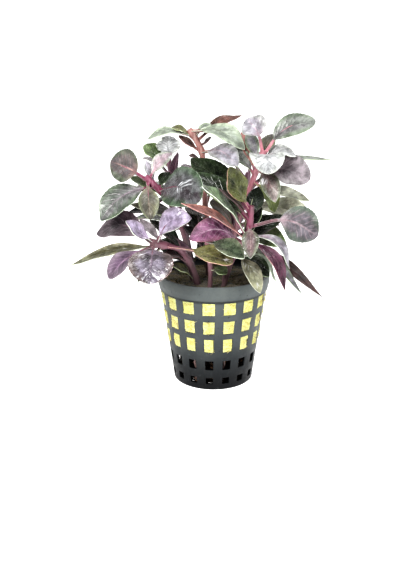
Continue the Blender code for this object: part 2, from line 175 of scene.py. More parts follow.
view = dict(
    place=(0, -0.322, 0.1476),
    down=17.31, left=1.19,          # degrees below level and towards the left
    focal=682, frameLong=570,       # in the photo's pixels
    sensor=36, near=0.01,
)


def setCamera():
    bpy.ops.object.camera_add(
        location=view["place"],
        rotation=(math.radians(90 - view["down"]), 0, math.radians(view["left"])))
    camera = bpy.context.object
    camera.name = "camera"
    camera.data.sensor_fit = "VERTICAL"
    camera.data.sensor_height = view["sensor"]
    camera.data.lens = view["focal"] / view["frameLong"] * view["sensor"]
    camera.data.clip_start = view["near"]
    bpy.context.scene.camera = camera


studio = dict(
    floorWide=6.0, floorDeep=2.4, wallAt=1.3, wallHigh=2.0, sweep=0.4, sweepSteps=12,
    pale=(250, 250, 250), duller=(247, 247, 247), rough=0.9, glow=0.5,
    aim=(0, 0, 0.07),
    key=dict(place=(-0.32, -0.62, 0.52), size=0.26, power=6.0, tint=(1.0, 0.985, 0.97)),
    fill=dict(place=(0.5, -0.5, 0.3), size=0.5, power=2.0, tint=(0.97, 0.985, 1.0)),
    top=dict(place=(0.15, -0.1, 0.75), size=0.35, power=3.0, tint=(1.0, 1.0, 1.0)),
    worldStrength=0.06,
)


def setStudio():
    # one white sheet: the floor, and a wall that it sweeps up into behind the plant
    bpy.ops.mesh.primitive_plane_add(size=1)
    floor = bpy.context.object
    floor.name = "white_sheet"
    deep = studio["floorDeep"] + studio["wallAt"]
    bpy.ops.transform.resize(value=(studio["floorWide"], deep, 1))
    bpy.ops.transform.translate(value=(0, studio["wallAt"] - deep / 2, 0))
    settle(floor)
    bpy.ops.object.mode_set(mode="EDIT")
    mesh = bmesh.from_edit_mesh(floor.data)
    for edge in mesh.edges:
        edge.select = all(abs(vert.co.y - studio["wallAt"]) < 1e-4 for vert in edge.verts)
    mesh.select_flush_mode()
    bmesh.update_edit_mesh(floor.data)
    bpy.ops.mesh.extrude_region_move(TRANSFORM_OT_translate=dict(value=(0, 0, studio["wallHigh"])))
    bpy.ops.object.mode_set(mode="OBJECT")
    bend = floor.modifiers.new("Sweep", "BEVEL")
    bend.width = studio["sweep"]
    bend.segments = studio["sweepSteps"]
    applyModifiers(floor)
    bpy.ops.object.shade_smooth()
    material, tree, shader, places = newMaterial(
        "white_sheet", Roughness=studio["rough"],
        Emission_Color=(1, 1, 1, 1), Emission_Strength=studio["glow"])
    tone = remap(tree, clouds(tree, places["Object"], 3.0), 0.3, 0.7)
    colour = mixColours(tree, tone, paint(*studio["pale"]), paint(*studio["duller"]))
    tree.links.new(colour, shader.inputs["Base Color"])
    floor.data.materials.append(material)
    for name in ("key", "fill", "top"):
        lamp = studio[name]
        aim = (Vector(studio["aim"]) - Vector(lamp["place"])).to_track_quat("-Z", "Y").to_euler()
        bpy.ops.object.light_add(type="AREA", location=lamp["place"], rotation=aim)
        light = bpy.context.object
        light.name = name + "_light"
        light.data.size = lamp["size"]
        light.data.energy = lamp["power"]
        light.data.color = lamp["tint"]
    world = bpy.data.worlds.new("studio")
    world.use_nodes = True
    sky = world.node_tree.nodes["Background"]
    sky.inputs["Color"].default_value = (1, 1, 1, 1)
    sky.inputs["Strength"].default_value = studio["worldStrength"]
    bpy.context.scene.world = world
    bpy.context.scene.view_settings.view_transform = "Standard"
    bpy.context.scene.view_settings.look = "High Contrast"


deselectAll()
setCamera()
setStudio()
print("camera and studio set")


# net pot

potShape = dict(
    rimRadius=27.5, high=54.5, band=7.4, lip=4.2, bandFoot=26.7,
    wallTop=26.1, wallFoot=19.7, wall=1.2,
    columns=16, turn=-4.9,                      # degrees from straight ahead to the first column of windows
    # rows of windows: lower edge, upper edge, degrees across
    rows=[(39.9, 46.1, 13.0), (30.1, 36.7, 12.4), (20.5, 27.3, 11.6), (10.8, 15.7, 10.6), (3.0, 6.4, 9.8)],
    slots=8, slotInner=8.0, slotOuter=16.0, slotWide=4.6, slotDeep=8,
    floorRings=(18.4, 16.6, 7.4, 3.0),          # radii of the rings between the wall and the floor's middle
    ease=0.35, lipEase=0.5,                     # heights over which the foot, the band and the lip round off
    soften=0.22, softSteps=2, sharpFrom=50,     # edges that turn by more degrees than this are softened
)


def wallRadius(height):
    bandFoot = potShape["high"] - potShape["band"]
    return potShape["wallFoot"] + (potShape["wallTop"] - potShape["wallFoot"]) * height / bandFoot


def windowWidth(height):
    # degrees across a window at a height, carried on evenly between the rows
    rows = sorted(((low + high) / 2, wide) for low, high, wide in potShape["rows"])
    if height <= rows[0][0]:
        return rows[0][1]
    for (low, narrow), (high, wide) in zip(rows, rows[1:]):
        if height <= high:
            return narrow + (wide - narrow) * (height - low) / (high - low)
    return rows[-1][1]


def ringAngle(index, height):
    # six points to a column: four across the window, two on the bar
    column, part = divmod(index, 6)
    half = windowWidth(height) / 2
    pitch = 360 / potShape["columns"]
    bar = (pitch - 2 * half) / 3
    offset = (-half, -half / 3, half / 3, half, half + bar, half + bar * 2)[part]
    return math.radians(potShape["turn"] - 90 + column * pitch + offset)


def potLevels():
    # radius and height of every ring of the wall, from the foot to the rim
    bandFoot, lipFoot = potShape["high"] - potShape["band"], potShape["high"] - potShape["lip"]
    ease, lipEase = potShape["ease"], potShape["lipEase"]
    levels = [(wallRadius(0), 0.0), (wallRadius(ease) + 0.05, ease)]
    for low, high, wide in reversed(potShape["rows"]):
        levels += [(wallRadius(height), height) for height in (low, (low + high) / 2, high)]
    levels += [(wallRadius(bandFoot - ease), bandFoot - ease), (potShape["bandFoot"], bandFoot)]
    levels += [(potShape["rimRadius"] - 0.25, lipFoot - lipEase), (potShape["rimRadius"], lipFoot)]
    levels += [(potShape["rimRadius"], potShape["high"] - lipEase),
               (potShape["rimRadius"] - 0.12, potShape["high"])]
    return levels


def isWindow(middle):
    # whether a face of the wall, with its middle here, is cut away
    height = middle.z / mm
    pitch = 360 / potShape["columns"]
    turn = (math.degrees(math.atan2(middle.y, middle.x)) + 90 - potShape["turn"] + pitch / 2) % pitch
    if abs(turn - pitch / 2) >= windowWidth(height) / 2:
        return False
    return any(low < height < high for low, high, wide in potShape["rows"])


def makePot():
    sides = potShape["columns"] * 6
    levels = potLevels()
    bpy.ops.mesh.primitive_circle_add(vertices=sides, radius=levels[0][0] * mm, fill_type="NOTHING")
    pot = bpy.context.object
    bpy.ops.object.mode_set(mode="EDIT")
    bpy.ops.mesh.select_all(action="SELECT")
    for (radius, height), (nextRadius, nextHeight) in zip(levels, levels[1:]):
        grow, rise = nextRadius / radius, (nextHeight - height) * mm
        bpy.ops.mesh.extrude_region_move(TRANSFORM_OT_translate=dict(value=(0, 0, rise)))
        bpy.ops.transform.resize(value=(grow, grow, 1), center_override=(0, 0, nextHeight * mm))
    bpy.ops.object.mode_set(mode="OBJECT")
    # the first ring closes inwards to the floor
    bpy.ops.object.mode_set(mode="EDIT")
    mesh = bmesh.from_edit_mesh(pot.data)
    for vert in mesh.verts:
        vert.select = abs(vert.co.z) < 1e-6
    mesh.select_flush_mode()
    bmesh.update_edit_mesh(pot.data)
    steps = [levels[0][0], *potShape["floorRings"]]
    for radius, nextRadius in zip(steps, steps[1:]):
        bpy.ops.mesh.extrude_region_move()
        bpy.ops.transform.resize(
            value=(nextRadius / radius, nextRadius / radius, 1), center_override=(0, 0, 0))
    bpy.ops.mesh.edge_face_add()
    bpy.ops.object.mode_set(mode="OBJECT")
    # each wall point goes to the side of its window or bar
    for vert in pot.data.vertices:
        radius = math.hypot(vert.co.x, vert.co.y)
        index = round((math.degrees(math.atan2(vert.co.x, vert.co.y)) % 360) / 360 * sides) % sides
        angle = ringAngle(index, vert.co.z / mm)
        vert.co.x, vert.co.y = radius * math.cos(angle), radius * math.sin(angle)
    bpy.ops.object.mode_set(mode="EDIT")
    bpy.ops.mesh.select_all(action="SELECT")
    bpy.ops.mesh.normals_make_consistent(inside=False)
    mesh = bmesh.from_edit_mesh(pot.data)
    for face in mesh.faces:
        face.select = False
    for face in mesh.faces:
        if isWindow(face.calc_center_median()):
            face.select = True
    bmesh.update_edit_mesh(pot.data)
    bpy.ops.mesh.delete(type="FACE")
    bpy.ops.object.mode_set(mode="OBJECT")
    return pot


def cutSlots(pot):
    cutters = []
    for number in range(potShape["slots"]):
        wide = potShape["slotOuter"] - potShape["slotInner"]
        bpy.ops.mesh.primitive_cube_add(size=1, location=((potShape["slotInner"] + wide / 2) * mm, 0, 0))
        cutter = bpy.context.object
        bpy.ops.transform.resize(value=(wide * mm, potShape["slotWide"] * mm, potShape["slotDeep"] * mm))
        settle(cutter)
        bpy.ops.object.mode_set(mode="EDIT")
        bpy.ops.mesh.select_all(action="SELECT")
        turn = number * 2 * math.pi / potShape["slots"]
        bpy.ops.transform.rotate(value=turn, orient_axis="Z", center_override=(0, 0, 0))
        bpy.ops.object.mode_set(mode="OBJECT")
        cutters.append(cutter)
    slots = joinPieces(cutters, "slots")
    cut = pot.modifiers.new("Slots", "BOOLEAN")
    cut.object = slots
    cut.solver = "EXACT"
    applyModifiers(pot)
    bpy.data.objects.remove(slots)


potPaint = dict(
    grey=(81, 86, 87), dark=(68, 73, 75),
    rimPale=(96, 101, 99),                         # a paler grey, in patches, on the rim band
    bandShadow=(34, 37, 36),                          # painted shadow under the rim band
    # foot: painted shade that darkens the wall to near black towards the bottom
    foot=(8, 9, 13), smudge=(84, 90, 94), speck=(38, 36, 34),
    # painted shade inside the pot and on the window edges, darkest low down
    insideShadeLow=(8, 9, 11), insideShadeHigh=(50, 55, 58),
)
# heights in metres over which some of them come or go
potFade = dict(
    rimPale=(0.043, 0.053), bandShadowFrom=(0.0452, 0.0466), bandShadowTo=(0.0471, 0.0477),
    foot=(0.0, 0.036), inside=(0.0175, 0.0205),
)
potMiddle = dict(slope=0.136, foot=0.0193)      # radius in the middle of the wall's thickness


def plasticMaterial():
    material, tree, shader, places = newMaterial("grey_plastic", Specular_IOR_Level=0.22)
    place, tones = places["Object"], painted(potPaint)
    height = heightOf(tree, place)
    broad = remap(tree, clouds(tree, place, 60, 3.0), 0.35, 0.65)
    colour = mixColours(tree, broad, tones["grey"], tones["dark"])
    rimPale = remap(tree, clouds(tree, place, 140, 4.0, 0.65), 0.3, 0.7, 0.35, 0.9)
    rimPale = times(tree, remap(tree, height, *potFade["rimPale"]), rimPale)
    colour = mixColours(tree, rimPale, colour, tones["rimPale"])
    # a painted shadow line under the rim band
    bandShadow = remap(tree, height, *potFade["bandShadowFrom"], 0.0, 0.75)
    bandShadow = times(tree, bandShadow, remap(tree, height, *potFade["bandShadowTo"], 1.0, 0.0))
    colour = mixColours(tree, bandShadow, colour, tones["bandShadow"])
    # painted shade: the wall darkens towards its foot
    foot = times(tree, remap(tree, height, *potFade["foot"], 1.0, 0.0), 0.95)
    colour = mixColours(tree, foot, colour, tones["foot"])
    smudges = remap(tree, clouds(tree, place, 380, 5.0, 0.7), 0.55, 0.75, 0.0, 0.35)
    colour = mixColours(tree, smudges, colour, tones["smudge"])
    specks = remap(tree, clouds(tree, place, 1150, 1.0, 0.4), 0.735, 0.76, 0.0, 0.85)
    colour = mixColours(tree, specks, colour, tones["speck"])
    # painted shade on the inside and the window edges, near black low down: all that is nearer than the
    # wall's own middle
    flat = vectors(tree, "MULTIPLY", {0: place, 1: (1, 1, 0)})
    reach = vectors(tree, "LENGTH", {0: flat}, "Value")
    deep = minus(tree, plus(tree, times(tree, height, potMiddle["slope"]), potMiddle["foot"]), reach)
    inside = remap(tree, height, *potFade["inside"])
    inside = mixColours(tree, inside, tones["insideShadeLow"], tones["insideShadeHigh"])
    colour = mixColours(tree, remap(tree, deep, -0.0002, 0.0002), colour, inside)
    rough = remap(tree, clouds(tree, place, 220, 4.0, 0.6), 0.3, 0.7, 0.34, 0.58, "LINEAR")
    coat(tree, shader, colour, rough)
    streaks = clouds(tree, place, 300, 4.0, 0.6, stretch=(1, 1, 0.3))
    fine = clouds(tree, place, 2400, 2.0)
    raiseBumps(tree, shader, plus(tree, streaks, times(tree, fine, 0.25)), 0.0003, 0.5)
    return material


pot = makePot()
wall = pot.modifiers.new("Wall", "SOLIDIFY")
wall.thickness = potShape["wall"] * mm
wall.offset = -1
wall.use_even_offset = True
applyModifiers(pot)
cutSlots(pot)
edges = pot.modifiers.new("Edges", "BEVEL")
edges.width = potShape["soften"] * mm
edges.segments = potShape["softSteps"]
edges.limit_method = "ANGLE"
edges.angle_limit = math.radians(potShape["sharpFrom"])
applyModifiers(pot)
bpy.ops.object.shade_smooth_by_angle(angle=math.radians(38))
pot.name = pot.data.name = "slatted_pot"
pot.data.materials.clear()
pot.data.materials.append(plasticMaterial())
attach(pot, "root")
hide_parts("net_pot")
print("pot made:", len(pot.data.polygons), "faces")


# mineral wool plug

woolShape = dict(
    top=51.3, foot=18.6, gap=0.2, round=1.4,
    around=224, up=64, rings=12,
    rows=3,                                     # rows of windows that it stands behind
    bulge=1.5, bulgeMost=1.95,                  # how far it swells out through a window
    spare=0.7, steep=0.12,                      # and how close to the window's edge, and how steeply
    sunk=0.1, topDown=0.5, footUp=0.2,          # how far its faces stay behind the solid's
)


def windowShare(angle, height, spare=0.0):
    # 1 in a window and 0 on the bars, for a place on the wall. spare: degrees more on each side
    pitch = 360 / potShape["columns"]
    turn = (math.degrees(angle) + 90 - potShape["turn"] + pitch / 2) % pitch - pitch / 2
    for low, high, wide in potShape["rows"][:woolShape["rows"]]:
        half, tall, middle = wide / 2 + spare, (high - low) / 2 + spare * 0.35, (low + high) / 2
        if abs(height - middle) < tall:
            across = 1 - (abs(turn) / half) ** 8
            along = 1 - (abs(height - middle) / tall) ** 8
            return max(0, min(across, along))
    return 0


def woolRadius(height):
    return wallRadius(height) - potShape["wall"] - woolShape["gap"]


def swellOut(angle, height, spare=0.0):
    return woolShape["bulge"] * windowShare(angle, height, spare)**woolShape["steep"]


def makeWool():
    low, top = woolShape["foot"], woolShape["top"]
    footRadius = woolRadius(low)
    bpy.ops.mesh.primitive_cylinder_add(
        vertices=woolShape["around"], radius=footRadius * mm, depth=(top - low) * mm,
        location=(0, 0, (low + top) / 2 * mm), end_fill_type="NGON")
    wool = bpy.context.object
    settle(wool)
    bpy.ops.object.mode_set(mode="EDIT")
    # the two ends are inset ring by ring, the side is cut across
    for end in (low, top):
        bpy.ops.mesh.select_all(action="DESELECT")
        mesh = bmesh.from_edit_mesh(wool.data)
        for face in mesh.faces:
            face.select = abs(face.calc_center_median().z - end * mm) < 1e-5
        bmesh.update_edit_mesh(wool.data)
        for ring in range(woolShape["rings"]):
            bpy.ops.mesh.inset(thickness=footRadius * mm / (woolShape["rings"] + 1))
    bpy.ops.mesh.select_mode(type="EDGE")
    bpy.ops.mesh.select_all(action="DESELECT")
    mesh = bmesh.from_edit_mesh(wool.data)
    for edge in mesh.edges:
        if abs(edge.verts[0].co.z - edge.verts[1].co.z) > (top - low) * mm / 2:
            edge.select = True
    bmesh.update_edit_mesh(wool.data)
    bpy.ops.mesh.subdivide(number_cuts=woolShape["up"] - 1)
    bpy.ops.mesh.select_mode(type="VERT")
    bpy.ops.object.mode_set(mode="OBJECT")
    for vert in wool.data.vertices:
        x, y, z = vert.co / mm
        radius, angle = math.hypot(x, y), math.atan2(y, x)
        share = radius / footRadius
        fuzz = noise.noise(Vector((x, y, z)) * 0.55) * 0.5 + noise.noise(Vector((x, y, z)) * 1.7) * 0.3
        if share > 0.985:
            rounding = 0
            for end in (low, top):
                near = max(0, 1 - abs(z - end) / woolShape["round"])
                rounding += woolShape["round"] * (1 - math.sqrt(max(0, 1 - near**2)))
            out = windowShare(angle, z, woolShape["spare"])
            swell = swellOut(angle, z, woolShape["spare"])
            swell *= 1 + 0.2 * noise.noise(Vector((x, y, z)) * 0.35)
            radius = woolRadius(z) - rounding + min(swell + fuzz * 0.8 * (0.25 + out), woolShape["bulgeMost"])
            radius -= woolShape["sunk"]
        else:
            radius = share * (woolRadius(z) - woolShape["round"] * (share > 0.9))
            lumps = noise.noise(Vector((x, y, 3.0)) * 0.16) * 1.3 + fuzz * 0.9
            z += lumps * min(1, (1 - share) * 6)
            z += -woolShape["topDown"] if z > (low + top) / 2 else woolShape["footUp"]
        vert.co = Vector((radius * math.cos(angle), radius * math.sin(angle), z)) * mm
    pick(wool)
    bpy.ops.object.shade_smooth_by_angle(angle=math.radians(40))
    return wool


def cutFibre():
    # one curled strand, three-sided, a millimetre long
    bpy.ops.mesh.primitive_circle_add(vertices=3, radius=1, fill_type="NOTHING", rotation=(0, math.pi / 2, 0))
    fibre = bpy.context.object
    settle(fibre)
    bpy.ops.object.mode_set(mode="EDIT")
    bpy.ops.mesh.select_all(action="SELECT")
    for part in range(4):
        bpy.ops.mesh.extrude_region_move(TRANSFORM_OT_translate=dict(value=(0.25, 0, 0)))
    bpy.ops.transform.resize(value=(1, 0.3, 0.3), center_override=(1, 0, 0))
    bpy.ops.object.mode_set(mode="OBJECT")
    return fibre


def layFibres(name, strand, places, skin):
    # many copies of one strand in one mesh. places: start, direction, length, thickness, sag, skin number
    points = [vert.co.copy() for vert in strand.data.vertices]
    faces = [tuple(face.vertices) for face in strand.data.polygons]
    allPoints, allFaces, skins = [], [], []
    for start, direction, long, thick, sag, number in places:
        turn = direction.to_track_quat("X", "Z")
        first = len(allPoints)
        for point in points:
            bend = Vector((0, 0, -sag * point.x**2))
            grown = Vector((point.x * long, point.y * thick, point.z * thick))
            allPoints.append((start + turn @ grown + bend) * mm)
        allFaces += [tuple(index + first for index in face) for face in faces]
        skins += [number] * len(faces)
    mesh = bpy.data.meshes.new(name)
    mesh.from_pydata(allPoints, [], allFaces)
    piece = bpy.data.objects.new(name, mesh)
    bpy.context.scene.collection.objects.link(piece)
    for one in skin:
        mesh.materials.append(one)
    mesh.polygons.foreach_set("material_index", skins)
    pick(piece)
    bpy.ops.object.shade_smooth()
    return piece


woolPaint = dict(
    # between: painted shade down between the threads
    straw=(228, 228, 142), pale=(236, 238, 176), between=(200, 194, 106), stain=(136, 116, 58),
    # moss colours, darkened with painted shade where the leaves overhang the wool's top
    mossDark=(44, 40, 18), mossPale=(118, 106, 56), mossGreen=(36, 40, 18),
)
mossAndShadeFade = (0.0455, 0.0500)      # heights in metres over which the wool gives way to moss, darkened with painted shade


def woolMaterial():
    material, tree, shader, places = newMaterial(
        "mineral_wool", Specular_IOR_Level=0.2, Sheen_Weight=0.3, Sheen_Roughness=0.6)
    place, tones = places["Object"], painted(woolPaint)
    threads = clouds(tree, place, 900, 5.0, 0.75, stretch=(1, 1, 2.2))
    broad = clouds(tree, place, 150, 3.0)
    colour = mixColours(tree, remap(tree, broad, 0.35, 0.65), tones["straw"], tones["pale"])
    # painted shade: darker yellow down between the threads, where the bump sinks
    colour = mixColours(tree, remap(tree, threads, 0.36, 0.6), tones["between"], colour)
    stain = times(tree, remap(tree, clouds(tree, place, 110, 4.0, 0.65), 0.61, 0.71), 0.65)
    colour = mixColours(tree, stain, colour, tones["stain"])
    # moss on the wool's top: its own colour, darkened with painted shade
    moss = mixColours(tree, remap(tree, threads, 0.35, 0.65), tones["mossDark"], tones["mossPale"])
    moss = mixColours(tree, remap(tree, broad, 0.45, 0.62), moss, tones["mossGreen"])
    colour = mixColours(tree, remap(tree, heightOf(tree, place), *mossAndShadeFade), colour, moss)
    coat(tree, shader, colour, remap(tree, threads, 0.3, 0.7, 0.7, 0.95))
    raiseBumps(tree, shader, threads, 0.0008, 1.0)
    return material


def strandMaterial(name, pale, dark, rough):
    material, tree, shader, places = newMaterial(name, Specular_IOR_Level=0.3)
    tone = clouds(tree, places["Object"], 700, 3.0)
    colour = mixColours(tree, remap(tree, tone, 0.35, 0.65), paint(*pale), paint(*dark))
    coat(tree, shader, colour, remap(tree, tone, 0.3, 0.7, rough, rough + 0.2))
    raiseBumps(tree, shader, clouds(tree, places["Object"], 3000, 2.0), 0.0001, 0.4)
    return material


# long and thick: ranges in millimetres. skins: numbers of strandSkins, as often as each is taken
strandShape = dict(
    fibre=dict(count=1500, long=(1.6, 4.2), thick=0.05, standEvery=6, tuckedIn=0.9),
    moss=dict(count=900, long=(1.2, 3.0), thick=(0.05, 0.12), sag=(0, 0.8), inset=1.2, skins=(1, 1, 2)),
    hanging=dict(count=950, long=(6, 14.5), thick=(0.1, 0.28), within=17.6, endWithin=17.8, above=2.2,
                 skins=(3, 3, 3, 4)),
    circling=dict(count=1700, long=(4, 9), thick=(0.2, 0.42), slope=0.25, clear=1.8, above=1.9,
                  low=dict(height=(1.9, 3.8), radius=(7.0, 16.8)),
                  high=dict(height=(2.4, 18.0), radius=(13.5, 16.4)), skins=(3, 3, 3, 3, 4)),
)


def ray(angle):
    # straight out of the pot's middle, and level around it
    out = Vector((math.cos(angle), math.sin(angle), 0))
    return out, Vector((-out.y, out.x, 0))


def fibrePlaces():
    # strands that lie over the wool in each window, and a few that stand out of it
    shape = strandShape["fibre"]
    places = []
    while len(places) < shape["count"]:
        low, high, wide = potShape["rows"][random.randrange(woolShape["rows"])]
        column = random.randrange(potShape["columns"])
        turn = potShape["turn"] - 90 + column * 360 / potShape["columns"]
        angle = math.radians(turn + random.uniform(-0.5, 0.5) * wide * 0.96)
        height = random.uniform(low + 0.2, high - 0.2)
        out, around = ray(angle)
        slope = Vector((0, 0, random.uniform(-1, 1)))
        stands = len(places) % shape["standEvery"] == 0
        direction = around * random.choice((-1, 1)) + slope
        direction = (direction + out * (random.uniform(0.1, 0.9) if stands else 0.06)).normalized()
        radius = wallRadius(height) - potShape["wall"] + swellOut(angle, height) + 0.05
        long = random.uniform(*shape["long"]) * (0.5 if stands else 0.8)
        start = out * radius + Vector((0, 0, height)) - direction * long * 0.4
        ends = [start, start + direction * long]
        over = [end for end in ends if not windowShare(math.atan2(end.y, end.x), end.z)]
        if over and random.random() < shape["tuckedIn"]:
            continue
        thick = shape["thick"] * random.uniform(0.6, 1.5)
        places.append((start, direction, long, thick, random.uniform(-0.3, 0.5), 0))
    return places


def discPlace(most, height):
    # anywhere in a level disc
    radius = most * math.sqrt(random.random())
    angle = random.uniform(0, 2 * math.pi)
    return Vector((radius * math.cos(angle), radius * math.sin(angle), height))


def mossPlaces():
    # short strands standing and lying on the wool's top
    shape = strandShape["moss"]
    places = []
    while len(places) < shape["count"]:
        start = discPlace(woolRadius(woolShape["top"]) - shape["inset"], woolShape["top"] - shape["inset"])
        direction = Vector((random.uniform(-1, 1), random.uniform(-1, 1), random.uniform(0.05, 1.0)))
        places.append((start, direction.normalized(), random.uniform(*shape["long"]),
                       random.uniform(*shape["thick"]), random.uniform(*shape["sag"]),
                       random.choice(shape["skins"])))
    return places


def hangingPlaces():
    # fine dark roots that hang from the wool's foot to the floor
    shape = strandShape["hanging"]
    places = []
    while len(places) < shape["count"]:
        start = discPlace(shape["within"], woolShape["foot"] + 0.4)
        direction = Vector((random.uniform(-0.5, 0.5), random.uniform(-0.5, 0.5), -1)).normalized()
        long = random.uniform(*shape["long"])
        end = start + direction * long
        if math.hypot(end.x, end.y) < shape["endWithin"] and end.z > shape["above"]:
            thick = random.uniform(*shape["thick"])
            places.append((start, direction, long, thick, 0, random.choice(shape["skins"])))
    return places


def circlingPlaces():
    # others circle along the wall and over the floor, as roots do in a pot
    shape = strandShape["circling"]
    places = []
    while len(places) < shape["count"]:
        angle = random.uniform(0, 2 * math.pi)
        level = shape["high" if len(places) % 2 else "low"]
        height = random.uniform(*level["height"])
        out, around = ray(angle)
        around = around * random.choice((-1, 1))
        direction = (around + Vector((0, 0, random.uniform(-shape["slope"], shape["slope"])))).normalized()
        long = random.uniform(*shape["long"])
        start = out * random.uniform(*level["radius"]) + Vector((0, 0, height))
        end = start + direction * long
        inside = math.hypot(end.x, end.y) < wallRadius(end.z) - shape["clear"]
        if inside and shape["above"] < end.z < woolShape["foot"]:
            thick = random.uniform(*shape["thick"])
            places.append((start, direction, long, thick, 0, random.choice(shape["skins"])))
    return places


wool = makeWool()
wool.name = wool.data.name = "wool_filling"
wool.data.materials.clear()
wool.data.materials.append(woolMaterial())
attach(wool, "root")
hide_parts("wool_plug")
strand = cutFibre()
# name, pale and dark colour, roughness
strandTones = [
    ("wool_strand", (240, 232, 170), (176, 158, 84), 0.5),
    ("moss_strand", (104, 94, 48), (52, 46, 22), 0.6),
    ("moss_green", (86, 100, 38), (48, 56, 22), 0.5),
    ("dark_root", (40, 28, 24), (20, 15, 14), 0.5),
    ("tan_root", (150, 116, 84), (104, 76, 56), 0.5),
]
strandSkins = [strandMaterial(*tones) for tones in strandTones]
places = fibrePlaces() + mossPlaces() + hangingPlaces() + circlingPlaces()
fibres = layFibres("wool_fibres", strand, places, strandSkins)
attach(fibres, "root")
print("wool made:", len(wool.data.polygons), "and", len(fibres.data.polygons), "faces")


# leaves

def leafLook(face, patch, vein, edge, under, rim, gloss, **more):
    # colours on screen. gloss: roughness from and to. shine: share under painted glints, pale streaks of
    # reflected light
    return dict(face=face, patch=patch, vein=vein, edge=edge, under=under, rim=rim, gloss=gloss, **more)


